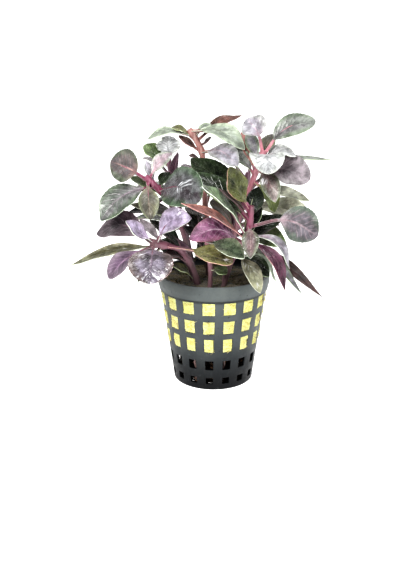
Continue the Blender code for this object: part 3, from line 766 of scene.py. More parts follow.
leafLooks = dict(
    grey_purple=leafLook((116, 108, 114), (94, 86, 92), (172, 142, 152), (104, 118, 100),
                         "plum", "grey", (0.38, 0.55)),
    rosy=leafLook((112, 103, 102), (92, 84, 88), (196, 152, 146), (102, 114, 90),
                  "plum", "grey", (0.42, 0.58), midrib=0.9, sideVeins=0.2),
    lilac_grey=leafLook((108, 102, 110), (84, 76, 84), (182, 156, 164), (96, 112, 96),
                        "plum", "grey", (0.34, 0.5), specks=0.6, shine=0.15, midrib=0.85),
    dusky=leafLook((152, 142, 148), (122, 112, 118), (176, 162, 170), (150, 144, 146),
                   "plum", "grey", (0.38, 0.54), specks=0.5),
    dark_purple=leafLook((106, 92, 100), (74, 60, 68), (146, 128, 138), (114, 100, 106),
                         "plum", "grey", (0.36, 0.52)),
    plum_black=leafLook((52, 38, 46), (34, 26, 32), (84, 62, 74), (58, 44, 48),
                        "plum", "dark", (0.34, 0.5), specks=0.1),
    violet=leafLook((140, 122, 140), (118, 94, 120), (198, 158, 192), (132, 116, 130),
                    "plum", "grey", (0.34, 0.5), midrib=0.85),
    lavender=leafLook((178, 176, 186), (152, 146, 158), (204, 172, 186), (170, 172, 170),
                      "plum", "pale", (0.26, 0.42), shine=0.25),
    pink_lilac=leafLook((196, 178, 186), (176, 158, 166), (206, 160, 172), (176, 184, 168),
                        "rose", "pale", (0.28, 0.44), shine=0.25),
    taupe=leafLook((138, 132, 126), (128, 104, 106), (188, 164, 162), (126, 134, 112),
                   "rose", "pale", (0.22, 0.4), shine=0.4),
    wet_lilac=leafLook((142, 134, 150), (78, 70, 78), (160, 140, 158), (120, 106, 104),
                       "plum", "rosy", (0.12, 0.3), shine=0.5, relief=1.4, specks=0.2),
    silver_green=leafLook((122, 130, 122), (112, 112, 112), (160, 140, 154), (102, 120, 94),
                          "plum", "pale", (0.26, 0.42), shine=0.2),
    frosted=leafLook((118, 120, 122), (84, 76, 82), (70, 58, 64), (94, 116, 90),
                     "plum", "pale", (0.2, 0.36), shine=0.4, midrib=0.6),
    silver=leafLook((206, 208, 208), (176, 178, 180), (128, 130, 132), (208, 212, 206),
                    "rose", "pale", (0.24, 0.38), shine=0.45, sideVeins=0.5),
    lilac_green=leafLook((136, 142, 134), (126, 124, 126), (100, 98, 100), (112, 128, 104),
                         "plum", "green", (0.3, 0.46), shine=0.15, midrib=0.5),
    grey_green=leafLook((142, 150, 138), (146, 142, 152), (186, 182, 186), (128, 144, 118),
                        "plum", "green", (0.34, 0.5)),
    pale_green=leafLook((168, 180, 160), (148, 160, 146), (144, 154, 124), (180, 194, 168),
                        "olive", "pale", (0.3, 0.46), shine=0.12),
    pale_lime=leafLook((224, 228, 202), (192, 198, 168), (150, 156, 122), (214, 218, 190),
                       "olive", "pale", (0.3, 0.46), shine=0.15),
    cream_green=leafLook((150, 152, 122), (98, 96, 60), (142, 140, 104), (170, 168, 140),
                         "olive", "pale", (0.3, 0.46), shine=0.25),
    lime=leafLook((118, 134, 52), (90, 110, 44), (150, 160, 84), (132, 146, 66),
                  "olive", "green", (0.24, 0.42)),
    fresh_green=leafLook((118, 142, 102), (62, 86, 52), (160, 180, 146), (150, 170, 138),
                         "olive", "pale", (0.14, 0.3), shine=0.5),
    green=leafLook((112, 134, 84), (84, 106, 64), (146, 164, 108), (120, 142, 92),
                   "olive", "green", (0.22, 0.4)),
    glossy_green=leafLook((98, 112, 86), (54, 66, 50), (110, 128, 96), (120, 128, 104),
                          "rose", "pale", (0.16, 0.32), shine=0.22),
    dark_green=leafLook((52, 64, 44), (34, 44, 34), (92, 110, 76), (62, 80, 50),
                        "plum", "green", (0.14, 0.34), shine=0.08),
    deep_green=leafLook((40, 52, 40), (26, 34, 28), (66, 80, 58), (48, 60, 42),
                        "plum", "dark", (0.18, 0.36), specks=0.1),
    olive_green=leafLook((92, 98, 50), (50, 58, 38), (120, 120, 76), (112, 114, 52),
                         "plum", "rosy", (0.2, 0.4)),
    khaki=leafLook((112, 110, 98), (98, 94, 72), (170, 148, 136), (134, 138, 108),
                   "rose", "green", (0.34, 0.5)),
    mottled=leafLook((134, 132, 78), (66, 68, 36), (168, 166, 104), (150, 146, 84),
                     "rose", "rosy", (0.2, 0.4), specks=1.0, shine=0.35),
    olive=leafLook((112, 114, 58), (74, 78, 40), (150, 140, 100), (124, 128, 64),
                   "olive", "green", (0.24, 0.44)),
    spotted=leafLook((116, 104, 66), (86, 76, 48), (128, 100, 74), (96, 86, 56),
                     "olive", "green", (0.3, 0.46), spots=(58, 40, 32)),
    bronze=leafLook((112, 66, 50), (72, 40, 34), (150, 96, 76), (96, 64, 46), "rose", "rosy", (0.3, 0.46)),
    brown_red=leafLook((84, 52, 50), (56, 34, 34), (128, 84, 76), (78, 54, 46), "plum", "dark", (0.32, 0.48)),
    magenta_leaf=leafLook((158, 100, 138), (110, 60, 94), (226, 196, 212), (156, 104, 128),
                          "rose", "rosy", (0.2, 0.36), shine=0.2),
    dark_magenta=leafLook((98, 44, 74), (66, 30, 50), (140, 76, 106), (108, 58, 82),
                          "plum", "rosy", (0.26, 0.42)),
    salmon=leafLook((178, 116, 108), (146, 88, 84), (200, 144, 130), (186, 128, 112),
                    "rose", "rosy", (0.32, 0.48)),
    purple_gloss=leafLook((190, 178, 204), (148, 130, 158), (206, 188, 214), (162, 148, 166),
                          "plum", "pale", (0.16, 0.34), shine=0.3),
)

underTones = dict(
    plum=(110, 78, 96), rose=(158, 108, 116), olive=(134, 134, 98),
)
rimTones = dict(
    pale=(204, 212, 198), grey=(150, 142, 146), green=(164, 176, 146),
    rosy=(186, 146, 146), dark=(84, 66, 68),
)

forms = dict(
    # petiole: its share of the length. peak: where the blade is widest. foot, nose: how it opens and closes
    round=dict(petiole=0.16, peak=0.52, foot=0.80, nose=0.55),
    broad=dict(petiole=0.08, peak=0.50, foot=0.50, nose=0.55),
    disc=dict(petiole=0.28, peak=0.50, foot=0.60, nose=0.55),
    spoon=dict(petiole=0.26, peak=0.60, foot=1.15, nose=0.60),
    stalked=dict(petiole=0.42, peak=0.50, foot=0.75, nose=0.60),
    oval=dict(petiole=0.16, peak=0.50, foot=1.00, nose=0.75),
    lance=dict(petiole=0.14, peak=0.45, foot=1.00, nose=1.10),
)

leafCut = dict(
    columns=54, rows=16,
    petioleColumns=0.2,      # share of the columns, and of the UV map's length, that the petiole takes
    petioleWide=1.3,
    tipEase=1.15,            # columns stand closer where the tip rounds off
    thick=0.34, sharpFrom=42,
    ribRound=0.62, ribEnd=0.1, ribReach=0.8, ribSides=8, ribRings=26,
    ribLight=0.7, ribHeavy=1.15, ribFull=12,    # the rib's weight grows with the blade's width up to this
)


def reachOf(form, share):
    # half width of the blade as a share of its widest, from its foot at 0 to its tip at 1
    share = min(max(share, 0), 1)
    if share <= form["peak"]:
        return math.sin(math.pi / 2 * share / form["peak"]) ** form["foot"]
    return max(math.sin(math.pi / 2 * (1 - share) / (1 - form["peak"])), 0.0) ** form["nose"]


def easeOut(share):
    return 1 - (1 - share) ** leafCut["tipEase"]


def cutPattern(name):
    # a flat blade one long and one wide with its petiole, drawn out column by column
    form = forms[name]
    columns = leafCut["columns"]
    bpy.ops.mesh.primitive_grid_add(x_subdivisions=columns, y_subdivisions=leafCut["rows"], size=1)
    pattern = bpy.context.object
    pattern.name = "pattern_" + name
    bpy.ops.transform.translate(value=(0.5, 0, 0))
    settle(pattern)
    bpy.ops.object.mode_set(mode="EDIT")
    mesh = bmesh.from_edit_mesh(pattern.data)
    lines = sorted({round(vert.co.x, 4) for vert in mesh.verts})
    foot = leafCut["petioleColumns"]
    for at in reversed(lines):
        if at <= foot:
            place, wide = at / foot * form["petiole"], 0.1
        else:
            share = easeOut((at - foot) / (1 - foot))
            place = form["petiole"] + share * (1 - form["petiole"])
            wide = max(reachOf(form, share), 0.1 if share < 0.5 else 0.03)
        bpy.ops.mesh.select_all(action="DESELECT")
        for vert in mesh.verts:
            vert.select = abs(vert.co.x - at) < 1e-4 and not vert.tag
        mesh.select_flush_mode()
        chosen = [vert for vert in mesh.verts if vert.select]
        bmesh.update_edit_mesh(pattern.data)
        bpy.ops.transform.resize(value=(1, wide, 1), center_override=(at, 0, 0))
        bpy.ops.transform.translate(value=(place - at, 0, 0))
        for vert in chosen:
            vert.tag = True
    bpy.ops.object.mode_set(mode="OBJECT")
    return pattern


def cutRib():
    # the rounded back of a petiole and midrib, one long and one in radius
    bpy.ops.mesh.primitive_circle_add(
        vertices=leafCut["ribSides"], radius=1, rotation=(0, math.pi / 2, 0), fill_type="NGON")
    rib = bpy.context.object
    rib.name = "pattern_rib"
    settle(rib)
    bpy.ops.object.mode_set(mode="EDIT")
    bpy.ops.mesh.select_all(action="SELECT")
    for ring in range(leafCut["ribRings"]):
        bpy.ops.mesh.extrude_region_move(TRANSFORM_OT_translate=dict(value=(1 / leafCut["ribRings"], 0, 0)))
    bpy.ops.mesh.select_all(action="SELECT")
    bpy.ops.mesh.normals_make_consistent(inside=False)
    bpy.ops.object.mode_set(mode="OBJECT")
    if not rib.data.uv_layers:
        rib.data.uv_layers.new(name="UVMap")
    return rib


patterns = {name: cutPattern(name) for name in forms}
ribPattern = cutRib()
print("leaf patterns cut")


leafFace = dict(
    veinPairs=8.0, veinLean=2.4,
    patchScale=120, mottleScale=300, grainScale=2600, speckScale=2300,
    # the last colour is that of the painted glints, pale streaks of reflected light
    glint=(232, 234, 238),
)


def bladeMaps(tree, places):
    # from the leaf's own UV map: how far along it, how far from the midrib, the side veins, the midrib,
    # and a count that rises from one side vein to the next
    across = addNode(tree, "ShaderNodeSeparateXYZ", {0: places["UV"]}).outputs
    blade = remap(tree, across[0], leafCut["petioleColumns"], 1.0, 0.0, 1.0, "LINEAR")
    away = times(tree, sums(tree, "ABSOLUTE", minus(tree, across[1], 0.5)), 2.0)
    drift = times(tree, minus(tree, clouds(tree, places["Object"], 260, 2.0), 0.5), 0.9)
    lean = times(tree, sums(tree, "POWER", away, 0.8), leafFace["veinLean"])
    order = plus(tree, minus(tree, times(tree, blade, leafFace["veinPairs"]), lean), drift)
    line = sums(tree, "ABSOLUTE", minus(tree, sums(tree, "FRACT", order), 0.5))
    sides = remap(tree, line, 0.0, 0.16, 1.0, 0.0)
    sides = times(tree, sides, remap(tree, away, 0.55, 1.0, 1.0, 0.0))
    sides = times(tree, sides, remap(tree, across[0], 0.16, 0.26))
    rib = remap(tree, away, 0.01, 0.1, 1.0, 0.0)
    rib = times(tree, rib, remap(tree, blade, 0.1, 1.0, 1.0, 0.25))
    return across[0], away, sides, rib, order


def veinLines(tree, sides, rib, sideShare, ribShare):
    return sums(tree, "MAXIMUM", times(tree, sides, sideShare), times(tree, rib, ribShare))


def paintedGlints(tree, where, order, away, share):
    # painted glints: pale streaks of reflected light where a wet face catches the light. They run with the
    # side veins
    sheet = clouds(tree, where, 100, 2.0, 0.5)
    inputs = {0: times(tree, order, 2.6), 1: times(tree, away, 2.2)}
    run = addNode(tree, "ShaderNodeCombineXYZ", inputs).outputs[0]
    run = vectors(tree, "ADD", {0: run, 1: vectors(tree, "SCALE", {0: where, "Scale": 60.0})})
    broken = clouds(tree, run, 0.8, 3.0, 0.55)
    both = plus(tree, times(tree, sheet, 0.55), times(tree, broken, 0.45))
    streak = remap(tree, both, 0.64 - 0.2 * share, 0.72 - 0.16 * share)
    streak = times(tree, streak, remap(tree, away, 0.75, 1.0, 1.0, 0.0))
    return times(tree, streak, min(1.0, share * 3))


def leafMaterial(name, look, seed):
    material, tree, shader, places = newMaterial(
        name, Specular_IOR_Level=0.55, Sheen_Weight=0.12, Sheen_Roughness=0.4)
    where = vectors(tree, "ADD", {0: places["Object"], 1: (seed * 0.013, seed * 0.007, 0)})
    along, away, sides, rib, order = bladeMaps(tree, places)
    patch = remap(tree, clouds(tree, where, leafFace["patchScale"], 4.0, 0.6), 0.42, 0.62)
    mottle = clouds(tree, where, leafFace["mottleScale"], 3.0, 0.6)
    grain = clouds(tree, where, leafFace["grainScale"], 2.0, 0.6)
    colour = mixColours(tree, patch, paint(*look["face"]), paint(*look["patch"]))
    edge = remap(tree, plus(tree, away, times(tree, patch, 0.25)), 0.5, 1.12, 0.0, 0.95)
    colour = mixColours(tree, edge, colour, paint(*look["edge"]))
    foot = times(tree, remap(tree, along, 0.2, 0.42, 0.75, 0.0), remap(tree, away, 0.1, 0.9, 1.0, 0.35))
    colour = mixColours(tree, foot, colour, paint(*look["vein"]))
    lines = veinLines(tree, sides, rib, look.get("sideVeins", 0.28), look.get("midrib", 0.7))
    colour = mixColours(tree, lines, colour, paint(*look["vein"]))
    shade = remap(tree, mottle, 0.34, 0.66, 0.42, 0.88)
    colour = dim(tree, colour, times(tree, shade, remap(tree, grain, 0.3, 0.7, 0.92, 1.08)))
    colour = addNode(tree, "ShaderNodeHueSaturation", {"Saturation": 0.86, "Color": colour}).outputs[0]
    specks = clouds(tree, where, leafFace["speckScale"], 1.0, 0.5)
    specks = remap(tree, specks, 0.70, 0.76, 0.0, look.get("specks", 0.35))
    colour = mixColours(tree, specks, colour, paint(*rimTones[look["rim"]]))
    glint = paintedGlints(tree, where, order, away, look.get("shine", 0.0))
    # painted reflection: the glints are mixed into the leaf's colour
    colour = mixColours(tree, times(tree, glint, 0.8), colour, paint(*leafFace["glint"]))
    if "spots" in look:
        dark = remap(tree, clouds(tree, where, 900, 1.0, 0.4), 0.70, 0.75, 0.0, 0.85)
        colour = mixColours(tree, dark, colour, paint(*look["spots"]))
    low, high = look["gloss"]
    rough = remap(tree, clouds(tree, where, 420, 3.0, 0.6), 0.35, 0.65, low, high, "LINEAR")
    coat(tree, shader, colour, minus(tree, rough, times(tree, glint, low * 0.6)))
    height = times(tree, clouds(tree, where, 480, 2.0, 0.5), 0.55)
    height = plus(tree, height, times(tree, grain, 0.10))
    height = minus(tree, height, times(tree, sides, 0.30))
    height = minus(tree, height, times(tree, rib, 0.35))
    raiseBumps(tree, shader, height, 0.0006, look.get("relief", 0.75))
    return material


def underMaterial(name, look):
    # paler, matter and with raised veins
    material, tree, shader, places = newMaterial(
        name, Specular_IOR_Level=0.45, Sheen_Weight=0.1, Sheen_Roughness=0.4)
    along, away, sides, rib, order = bladeMaps(tree, places)
    under = underTones[look["under"]]
    patch = remap(tree, clouds(tree, places["Object"], 150, 4.0, 0.6), 0.38, 0.66)
    colour = mixColours(tree, patch, paint(*under), paint(*[value * 0.78 for value in under]))
    colour = mixColours(tree, veinLines(tree, sides, rib, 0.35, 0.8), colour, paint(*look["vein"]))
    mottle = clouds(tree, places["Object"], 900, 3.0, 0.7)
    colour = dim(tree, colour, remap(tree, mottle, 0.3, 0.7, 0.62, 0.84))
    coat(tree, shader, colour, remap(tree, mottle, 0.3, 0.7, 0.42, 0.62))
    raiseBumps(tree, shader, plus(tree, times(tree, mottle, 0.3), times(tree, sides, 0.5)), 0.0005, 0.7)
    return material


def rimMaterial(name, look):
    material, tree, shader, places = newMaterial(name, Specular_IOR_Level=0.5)
    worn = clouds(tree, places["Object"], 700, 3.0)
    rim = rimTones[look["rim"]]
    dull = [(one + other) / 2 for one, other in zip(rim, look["edge"])]
    colour = mixColours(tree, remap(tree, worn, 0.35, 0.65), paint(*rim), paint(*dull))
    coat(tree, shader, colour, remap(tree, worn, 0.3, 0.7, 0.35, 0.5))
    raiseBumps(tree, shader, worn, 0.0002, 0.5)
    return material


stalkTones = dict(
    # far end, near end, streak: a petiole's or a stem's colours on screen
    magenta=dict(far=(124, 66, 88), near=(96, 66, 72), streak=(156, 112, 126)),
    mauve=dict(far=(126, 92, 108), near=(96, 72, 82), streak=(156, 130, 140)),
    pink=dict(far=(176, 122, 132), near=(132, 90, 100), streak=(198, 160, 164)),
    brown_pink=dict(far=(172, 128, 122), near=(130, 94, 90), streak=(204, 174, 166)),
)


def stalkMaterial(name, tone):
    material, tree, shader, places = newMaterial(
        name, Specular_IOR_Level=0.55, Coat_Weight=0.15, Coat_Roughness=0.2)
    place, tones = places["Object"], painted(tone)
    streaks = clouds(tree, place, 500, 3.0, 0.6, stretch=(1, 1, 0.18))
    broad = clouds(tree, place, 90, 2.0)
    colour = mixColours(tree, remap(tree, broad, 0.4, 0.6), tones["far"], tones["near"])
    colour = mixColours(tree, remap(tree, streaks, 0.52, 0.72, 0.0, 0.7), colour, tones["streak"])
    low = remap(tree, heightOf(tree, place), 0.05, 0.098, 0.9, 0.0)     # paler towards the wool
    colour = mixColours(tree, low, colour, paint(*[value * 0.6 + 58 for value in tone["near"]]))
    coat(tree, shader, colour, remap(tree, streaks, 0.3, 0.7, 0.28, 0.48))
    raiseBumps(tree, shader, streaks, 0.0004, 0.6)
    return material


leafSkins = {}
for seed, (name, look) in enumerate(leafLooks.items()):
    leafSkins[name] = [leafMaterial(name + "_face", look, seed), underMaterial(name + "_under", look),
                       rimMaterial(name + "_rim", look)]
stalkSkins = {name: stalkMaterial(name + "_stalk", tone) for name, tone in stalkTones.items()}


def leaf(at, tip, width, form, tone, bow=1.0, face=0.0, small=False, **shape):
    # at: place along the stem, 0 to 1. tip: where it ends. bow: how far its middle stands off the straight
    # line. face: turn towards the front. small: one solid with its stem in the CAD model. look: its own
    # colours, where they are not the tone's. cup, wave, quilt and rough: how uneven it is
    spec = dict(at=at, tip=tip, width=width, form=form, tone=tone, bow=bow, face=face, small=small)
    spec.update(look=tone, cup=22, wave=0.35, waves=2.2, quilt=0.16, rough=0.5)
    spec.update(shape)
    return spec


def placeOn(path, share):
    lengths = [(end - start).length for start, end in zip(path, path[1:])]
    left = share * sum(lengths)
    for start, end, length in zip(path, path[1:], lengths):
        if left <= length:
            break
        left -= length
    return start.lerp(end, min(left / length, 1)), (end - start).normalized()


def smoothPath(points, steps):
    knots = [Vector(point) for point in points]
    knots = [2 * knots[0] - knots[1], *knots, 2 * knots[-1] - knots[-2]]
    path = []
    for before, start, end, after in zip(knots, knots[1:], knots[2:], knots[3:]):
        for step in range(steps):
            t = step / steps
            path.append(start + (end - before) * t / 2 + (before - 2.5 * start + 2 * end - after / 2) * t**2
                        + (1.5 * start - 1.5 * end + (after - before) / 2) * t**3)
    path.append(knots[-2])
    return path


def guideLine(base, start, tip, spec):
    # the arched line that a leaf is bent along, its face turned about it
    chord = (tip - base).normalized()
    upward = (Vector((0, 0, 1)) - chord * chord.z).normalized()
    middle = base.lerp(tip, 0.5) + upward * spec["bow"]
    curve = bpy.data.curves.new("guide", "CURVE")
    curve.dimensions = "3D"
    curve.twist_mode = "Z_UP"
    curve.use_stretch = True
    curve.use_deform_bounds = True
    curve.resolution_u = 24
    line = curve.splines.new("BEZIER")
    line.bezier_points.add(2)
    turn = math.radians(spec["face"]) * (1 if tip.x > base.x else -1)
    for point, place in zip(line.bezier_points, (start, middle, tip)):
        point.co = place * mm
        point.handle_left_type = point.handle_right_type = "AUTO"
        point.tilt = turn
    guide = bpy.data.objects.new("guide", curve)
    bpy.context.scene.collection.objects.link(guide)
    return guide


def liveBlade(blade, spec, length, seed):
    # cup, waves and the pillows between the veins, all in millimetres, on a blade that lies flat
    form = forms[spec["form"]]
    half = spec["width"] / 2
    foot = leafCut["petioleColumns"]
    stalk = leafCut["petioleWide"] / 2
    ring = half / math.radians(spec["cup"])
    size = min(1.0, half / 8)
    places = {}
    uv = blade.data.uv_layers["UVMap"].data
    for loop in blade.data.loops:
        places[loop.vertex_index] = uv[loop.index].uv
    wander = random.Random(seed)
    phases = [wander.uniform(0, 6.28) for _ in range(4)]
    for vert in blade.data.vertices:
        u, v = places[vert.index]
        side = (v - 0.5) * 2
        share = (u - foot) / (1 - foot)
        away = abs(side)
        reach = half * reachOf(form, easeOut(share)) if share > 0 else 0
        limit = stalk * (1 + 0.25 * max(0, foot - u) / foot) if share < 0.5 else 0.12
        wide = max(reach, limit)
        y = side * wide * (1 + 0.016 * math.sin(share * 88 + phases[0]) * (share > 0.1))
        z = ring * (1 - math.cos(y / ring))
        y = ring * math.sin(y / ring)
        if share > 0:
            opening = size * min(1, share * 4) * min(1, (1 - share) * 5)
            order = share * leafFace["veinPairs"] - away**0.8 * leafFace["veinLean"]
            pillow = (abs(math.sin(math.pi * order)) - 0.5) * away**0.5 * (1 - 0.4 * away)
            swell = math.sin(share * spec["waves"] * 6.28 + phases[1 if side > 0 else 2])
            rise = noise.noise(Vector((share * 2.6, side * 1.3 + seed * 7.3, seed * 3.1)))
            z += opening * (spec["quilt"] * pillow + spec["wave"] * swell * away**2 + spec["rough"] * rise)
        z -= 0.22 * math.exp(-(y / 0.42) ** 2) * min(1, max(0, 1.05 - share))
        vert.co = Vector((vert.co.x * length, y, z)) * mm


def growRib(spec, length):
    # the petiole's round back, which thins out under the midrib
    pick(ribPattern)
    bpy.ops.object.duplicate()
    rib = bpy.context.object
    form = forms[spec["form"]]
    foot = leafCut["petioleColumns"]
    end = form["petiole"] + (1 - form["petiole"]) * leafCut["ribReach"]
    weight = min(leafCut["ribHeavy"], max(leafCut["ribLight"], spec["width"] / leafCut["ribFull"]))
    uv = rib.data.uv_layers["UVMap"].data
    for loop in rib.data.loops:
        along = rib.data.vertices[loop.vertex_index].co.x * end
        if along < form["petiole"]:
            place = along / form["petiole"] * foot
        else:
            place = foot + (along - form["petiole"]) / (1 - form["petiole"]) * (1 - foot)
        uv[loop.index].uv = (place, 0.5)
    for vert in rib.data.vertices:
        along = vert.co.x
        thin = min(1, max(0, (along * end - form["petiole"]) / (end - form["petiole"])))
        thick = leafCut["ribRound"] * weight * (1 - thin) ** 0.9 + leafCut["ribEnd"] * thin
        thick *= 1 + 0.4 * math.exp(-(along / 0.03) ** 2)
        drop = 0.18 + thick * 0.62
        vert.co = Vector((along * end * length, vert.co.y * thick, vert.co.z * thick * 0.9 - drop)) * mm
    return rib


def growLeaf(shoot, path, number, spec):
    centre, along = placeOn(path, spec["at"])
    tip = Vector(spec["tip"])
    outward = tip - centre
    outward = (outward - along * outward.dot(along)).normalized()
    base = centre if spec["small"] else centre + outward * (shoot["radius"] + 1.0)
    start = centre + outward * max(shoot["radius"] - 0.5, 0.3)
    length = (tip - start).length
    seed = number + sum(ord(letter) for letter in shoot["name"])
    pick(patterns[spec["form"]])
    bpy.ops.object.duplicate()
    blade = bpy.context.object
    liveBlade(blade, spec, length, seed)
    skins = leafSkins[spec["look"]]
    for skin in skins + [stalkSkins[shoot["tone"]]]:
        blade.data.materials.append(skin)
    body = blade.modifiers.new("Body", "SOLIDIFY")
    body.thickness = leafCut["thick"] * mm
    body.offset = 0
    body.material_offset = 1
    body.material_offset_rim = 2
    applyModifiers(blade)
    rib = growRib(spec, length)
    rib.data.materials.clear()
    for skin in blade.data.materials:
        rib.data.materials.append(skin)
    for face in rib.data.polygons:
        face.material_index = 3
    for face in blade.data.polygons:
        if face.material_index == 0 and face.center.x < length * mm * forms[spec["form"]]["petiole"] * 0.9:
            face.material_index = 3
    joinPieces([blade, rib], "leaf")
    guide = guideLine(base, start, tip, spec)
    bend = blade.modifiers.new("Bend", "CURVE")
    bend.object = guide
    bend.deform_axis = "POS_X"
    applyModifiers(blade)
    bpy.ops.object.shade_smooth_by_angle(angle=math.radians(leafCut["sharpFrom"]))
    bpy.data.objects.remove(guide)
    kind = "leaflet" if spec["small"] else "blade"
    blade.name = blade.data.name = f"{shoot['name']}_{kind}_{number}"
    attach(blade, "root")
    if not spec["small"]:
        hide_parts(f"leaf_{shoot['name']}_{number}")


# the eight shoots. path: the stem's points, the first without a height, as it starts inside the wool

leftHigh = dict(
    name="left_high", radius=1.2, tone="magenta",
    path=[(-9, -3), (-13, -8, 70), (-19, -12, 88), (-26, -15, 98), (-31, -16, 103)],
    leaves=[
        leaf(0.99, (-46, -18, 110), 17, "disc", "grey_purple", bow=1.5, face=55, look="rosy", cup=12),
        leaf(0.97, (-19, -10, 113), 7, "oval", "lavender", bow=1.5, face=40, look="pink_lilac"),
        leaf(0.87, (-6, -36, 95.5), 19, "broad", "silver_green", bow=3.5, face=55, look="frosted", cup=16,
             quilt=0.24),
        leaf(0.92, (-50, -27, 85), 14.5, "oval", "silver_green", bow=4, face=35, cup=18),
        leaf(0.97, (-28, -27, 85.5), 9.5, "oval", "olive", look="khaki", cup=26),
        leaf(0.80, (-39, -6, 101.5), 6, "oval", "green", face=30, small=True),
        leaf(0.66, (-40, -7, 85), 7, "oval", "olive", bow=2, face=30, small=True, look="deep_green"),
        leaf(0.70, (-25.5, -21, 87), 11, "oval", "grey_green", face=20, small=True),
        leaf(0.58, (-38, -14, 90), 7, "oval", "pale_green", bow=1.5, face=30, small=True, look="cream_green"),
        leaf(0.80, (-26.5, -12, 87.5), 9, "oval", "dark_purple", face=20, small=True, look="plum_black"),
        leaf(0.92, (-31, -9, 109), 4.5, "oval", "lavender", bow=0.5, face=20, small=True),
        leaf(0.88, (-20.5, -9, 104), 6, "oval", "dark_green", bow=0.5, face=20, small=True),
        leaf(0.24, (-27, -7, 71), 11, "oval", "dark_green", bow=1.5, face=45, small=True, look="deep_green"),
    ],
)
leftLow = dict(
    name="left_low", radius=1.5, tone="magenta",
    path=[(-6, -10), (-10, -14, 60), (-16, -22, 71), (-27, -31, 76)],
    leaves=[
        leaf(0.98, (-38, -34, 86.5), 9, "oval", "lavender", bow=-1, face=40, look="purple_gloss"),
        leaf(0.97, (-9.5, -37, 88.5), 11, "oval", "grey_purple", bow=4, face=60, look="purple_gloss",
             quilt=0.3, rough=0.8),
        leaf(0.88, (-66.5, -20, 62.5), 7.5, "lance", "olive", bow=2.6, face=30, look="cream_green"),
        leaf(0.97, (-46, -37, 61.5), 12.5, "spoon", "grey_purple", bow=3, face=20, look="violet"),
        leaf(0.99, (-27, -47, 62), 19.5, "round", "silver_green", bow=3.5, look="wet_lilac", cup=14,
             quilt=0.3, rough=0.8),
        leaf(0.98, (-54.5, -13, 76), 14.5, "oval", "dark_purple", bow=6, face=45),
        leaf(0.84, (8, -44, 70.5), 12.5, "stalked", "olive", bow=1.5, face=20, look="mottled"),
        leaf(0.62, (-16, -26, 77), 10, "oval", "dark_green", face=30, small=True, look="deep_green"),
        leaf(0.24, (-19.5, -17, 62), 8, "oval", "olive", face=20, small=True),
        leaf(0.46, (-29, -20, 84), 9, "oval", "dark_green", bow=2, face=30, small=True, look="deep_green"),
        leaf(0.90, (-33, -37, 60), 8, "oval", "green", small=True, look="dark_green"),
        leaf(0.88, (-33, -25, 85.5), 5, "oval", "dark_purple", bow=0.5, face=30, small=True, look="dusky"),
        leaf(0.50, (-23, -26, 69), 7, "oval", "brown_red", face=20, small=True),
    ],
)
leftBack = dict(
    name="left_back", radius=1.1, tone="mauve",
    path=[(-8, 4), (-14, 4, 75), (-20, 1, 98), (-21.5, -1, 111)],
    leaves=[
        leaf(0.97, (-22, 3.2, 119.3), 12, "round", "silver_green", bow=-0.3, look="silver", wave=0.9,
             waves=5),
        leaf(0.93, (-33, -1, 115), 11, "round", "green", face=35),
        leaf(0.85, (-34, 14, 108), 9, "spoon", "grey_purple", bow=2, small=True),
        leaf(0.72, (-38, 20, 92), 11, "spoon", "grey_green", bow=3, small=True, look="dark_green"),
        leaf(0.60, (-20, 32, 84), 11, "spoon", "silver_green", bow=3, small=True, look="deep_green"),
        leaf(0.45, (-42, 10, 78), 11, "spoon", "olive", bow=3, small=True, look="dark_green"),
        leaf(0.80, (-17, -4, 112.5), 5, "oval", "grey_purple", bow=0.5, face=20, small=True),
        leaf(0.22, (-1.5, -1, 67), 11, "oval", "green", face=50, small=True, look="dark_green"),
    ],
)
top = dict(
    name="top", radius=1.4, tone="brown_pink",
    path=[(-2, 6), (-4, 7, 80), (-5.5, 7, 108), (-8, 7, 116), (-12, 6, 122)],
    leaves=[
        leaf(0.99, (14, -5, 114), 12.5, "oval", "pale_green", bow=3.6, face=25),
        leaf(0.97, (-31, 1, 118), 8, "oval", "pale_green", bow=3, face=20),
        leaf(0.86, (-17, 8, 119), 5, "oval", "brown_red", bow=0.5, face=30, look="bronze"),
        leaf(0.85, (10.5, -21, 108.5), 11, "oval", "lavender", bow=3.3, face=30),
        leaf(0.92, (13, 14, 128), 7, "lance", "brown_red", bow=2, face=30, look="bronze"),
        leaf(0.79, (-12, 4, 110), 4.5, "oval", "brown_red", bow=0.5, face=20, small=True),
        leaf(0.70, (-14, 34, 100), 11, "spoon", "grey_purple", bow=3, small=True, look="dusky"),
        leaf(0.52, (2, 36, 92), 11, "spoon", "olive", bow=3, small=True, look="dark_green"),
        leaf(0.46, (-13, -12, 87), 12, "oval", "dark_green", bow=2, face=45, small=True, look="deep_green"),
        leaf(0.40, (-22, 26, 68), 10, "spoon", "green", bow=3, small=True, look="deep_green"),
        leaf(0.95, (-1.5, 6, 124.5), 6, "oval", "pale_green", face=20, small=True),
        leaf(0.89, (-1.5, 5, 118.5), 5, "oval", "brown_red", bow=-0.5, face=20, small=True),
        leaf(0.96, (-20, 4, 123), 7, "oval", "olive", bow=0.5, face=20, small=True),
        leaf(0.34, (-14.8, -2, 82.5), 11, "oval", "dark_green", face=55, small=True, look="deep_green"),
    ],
)
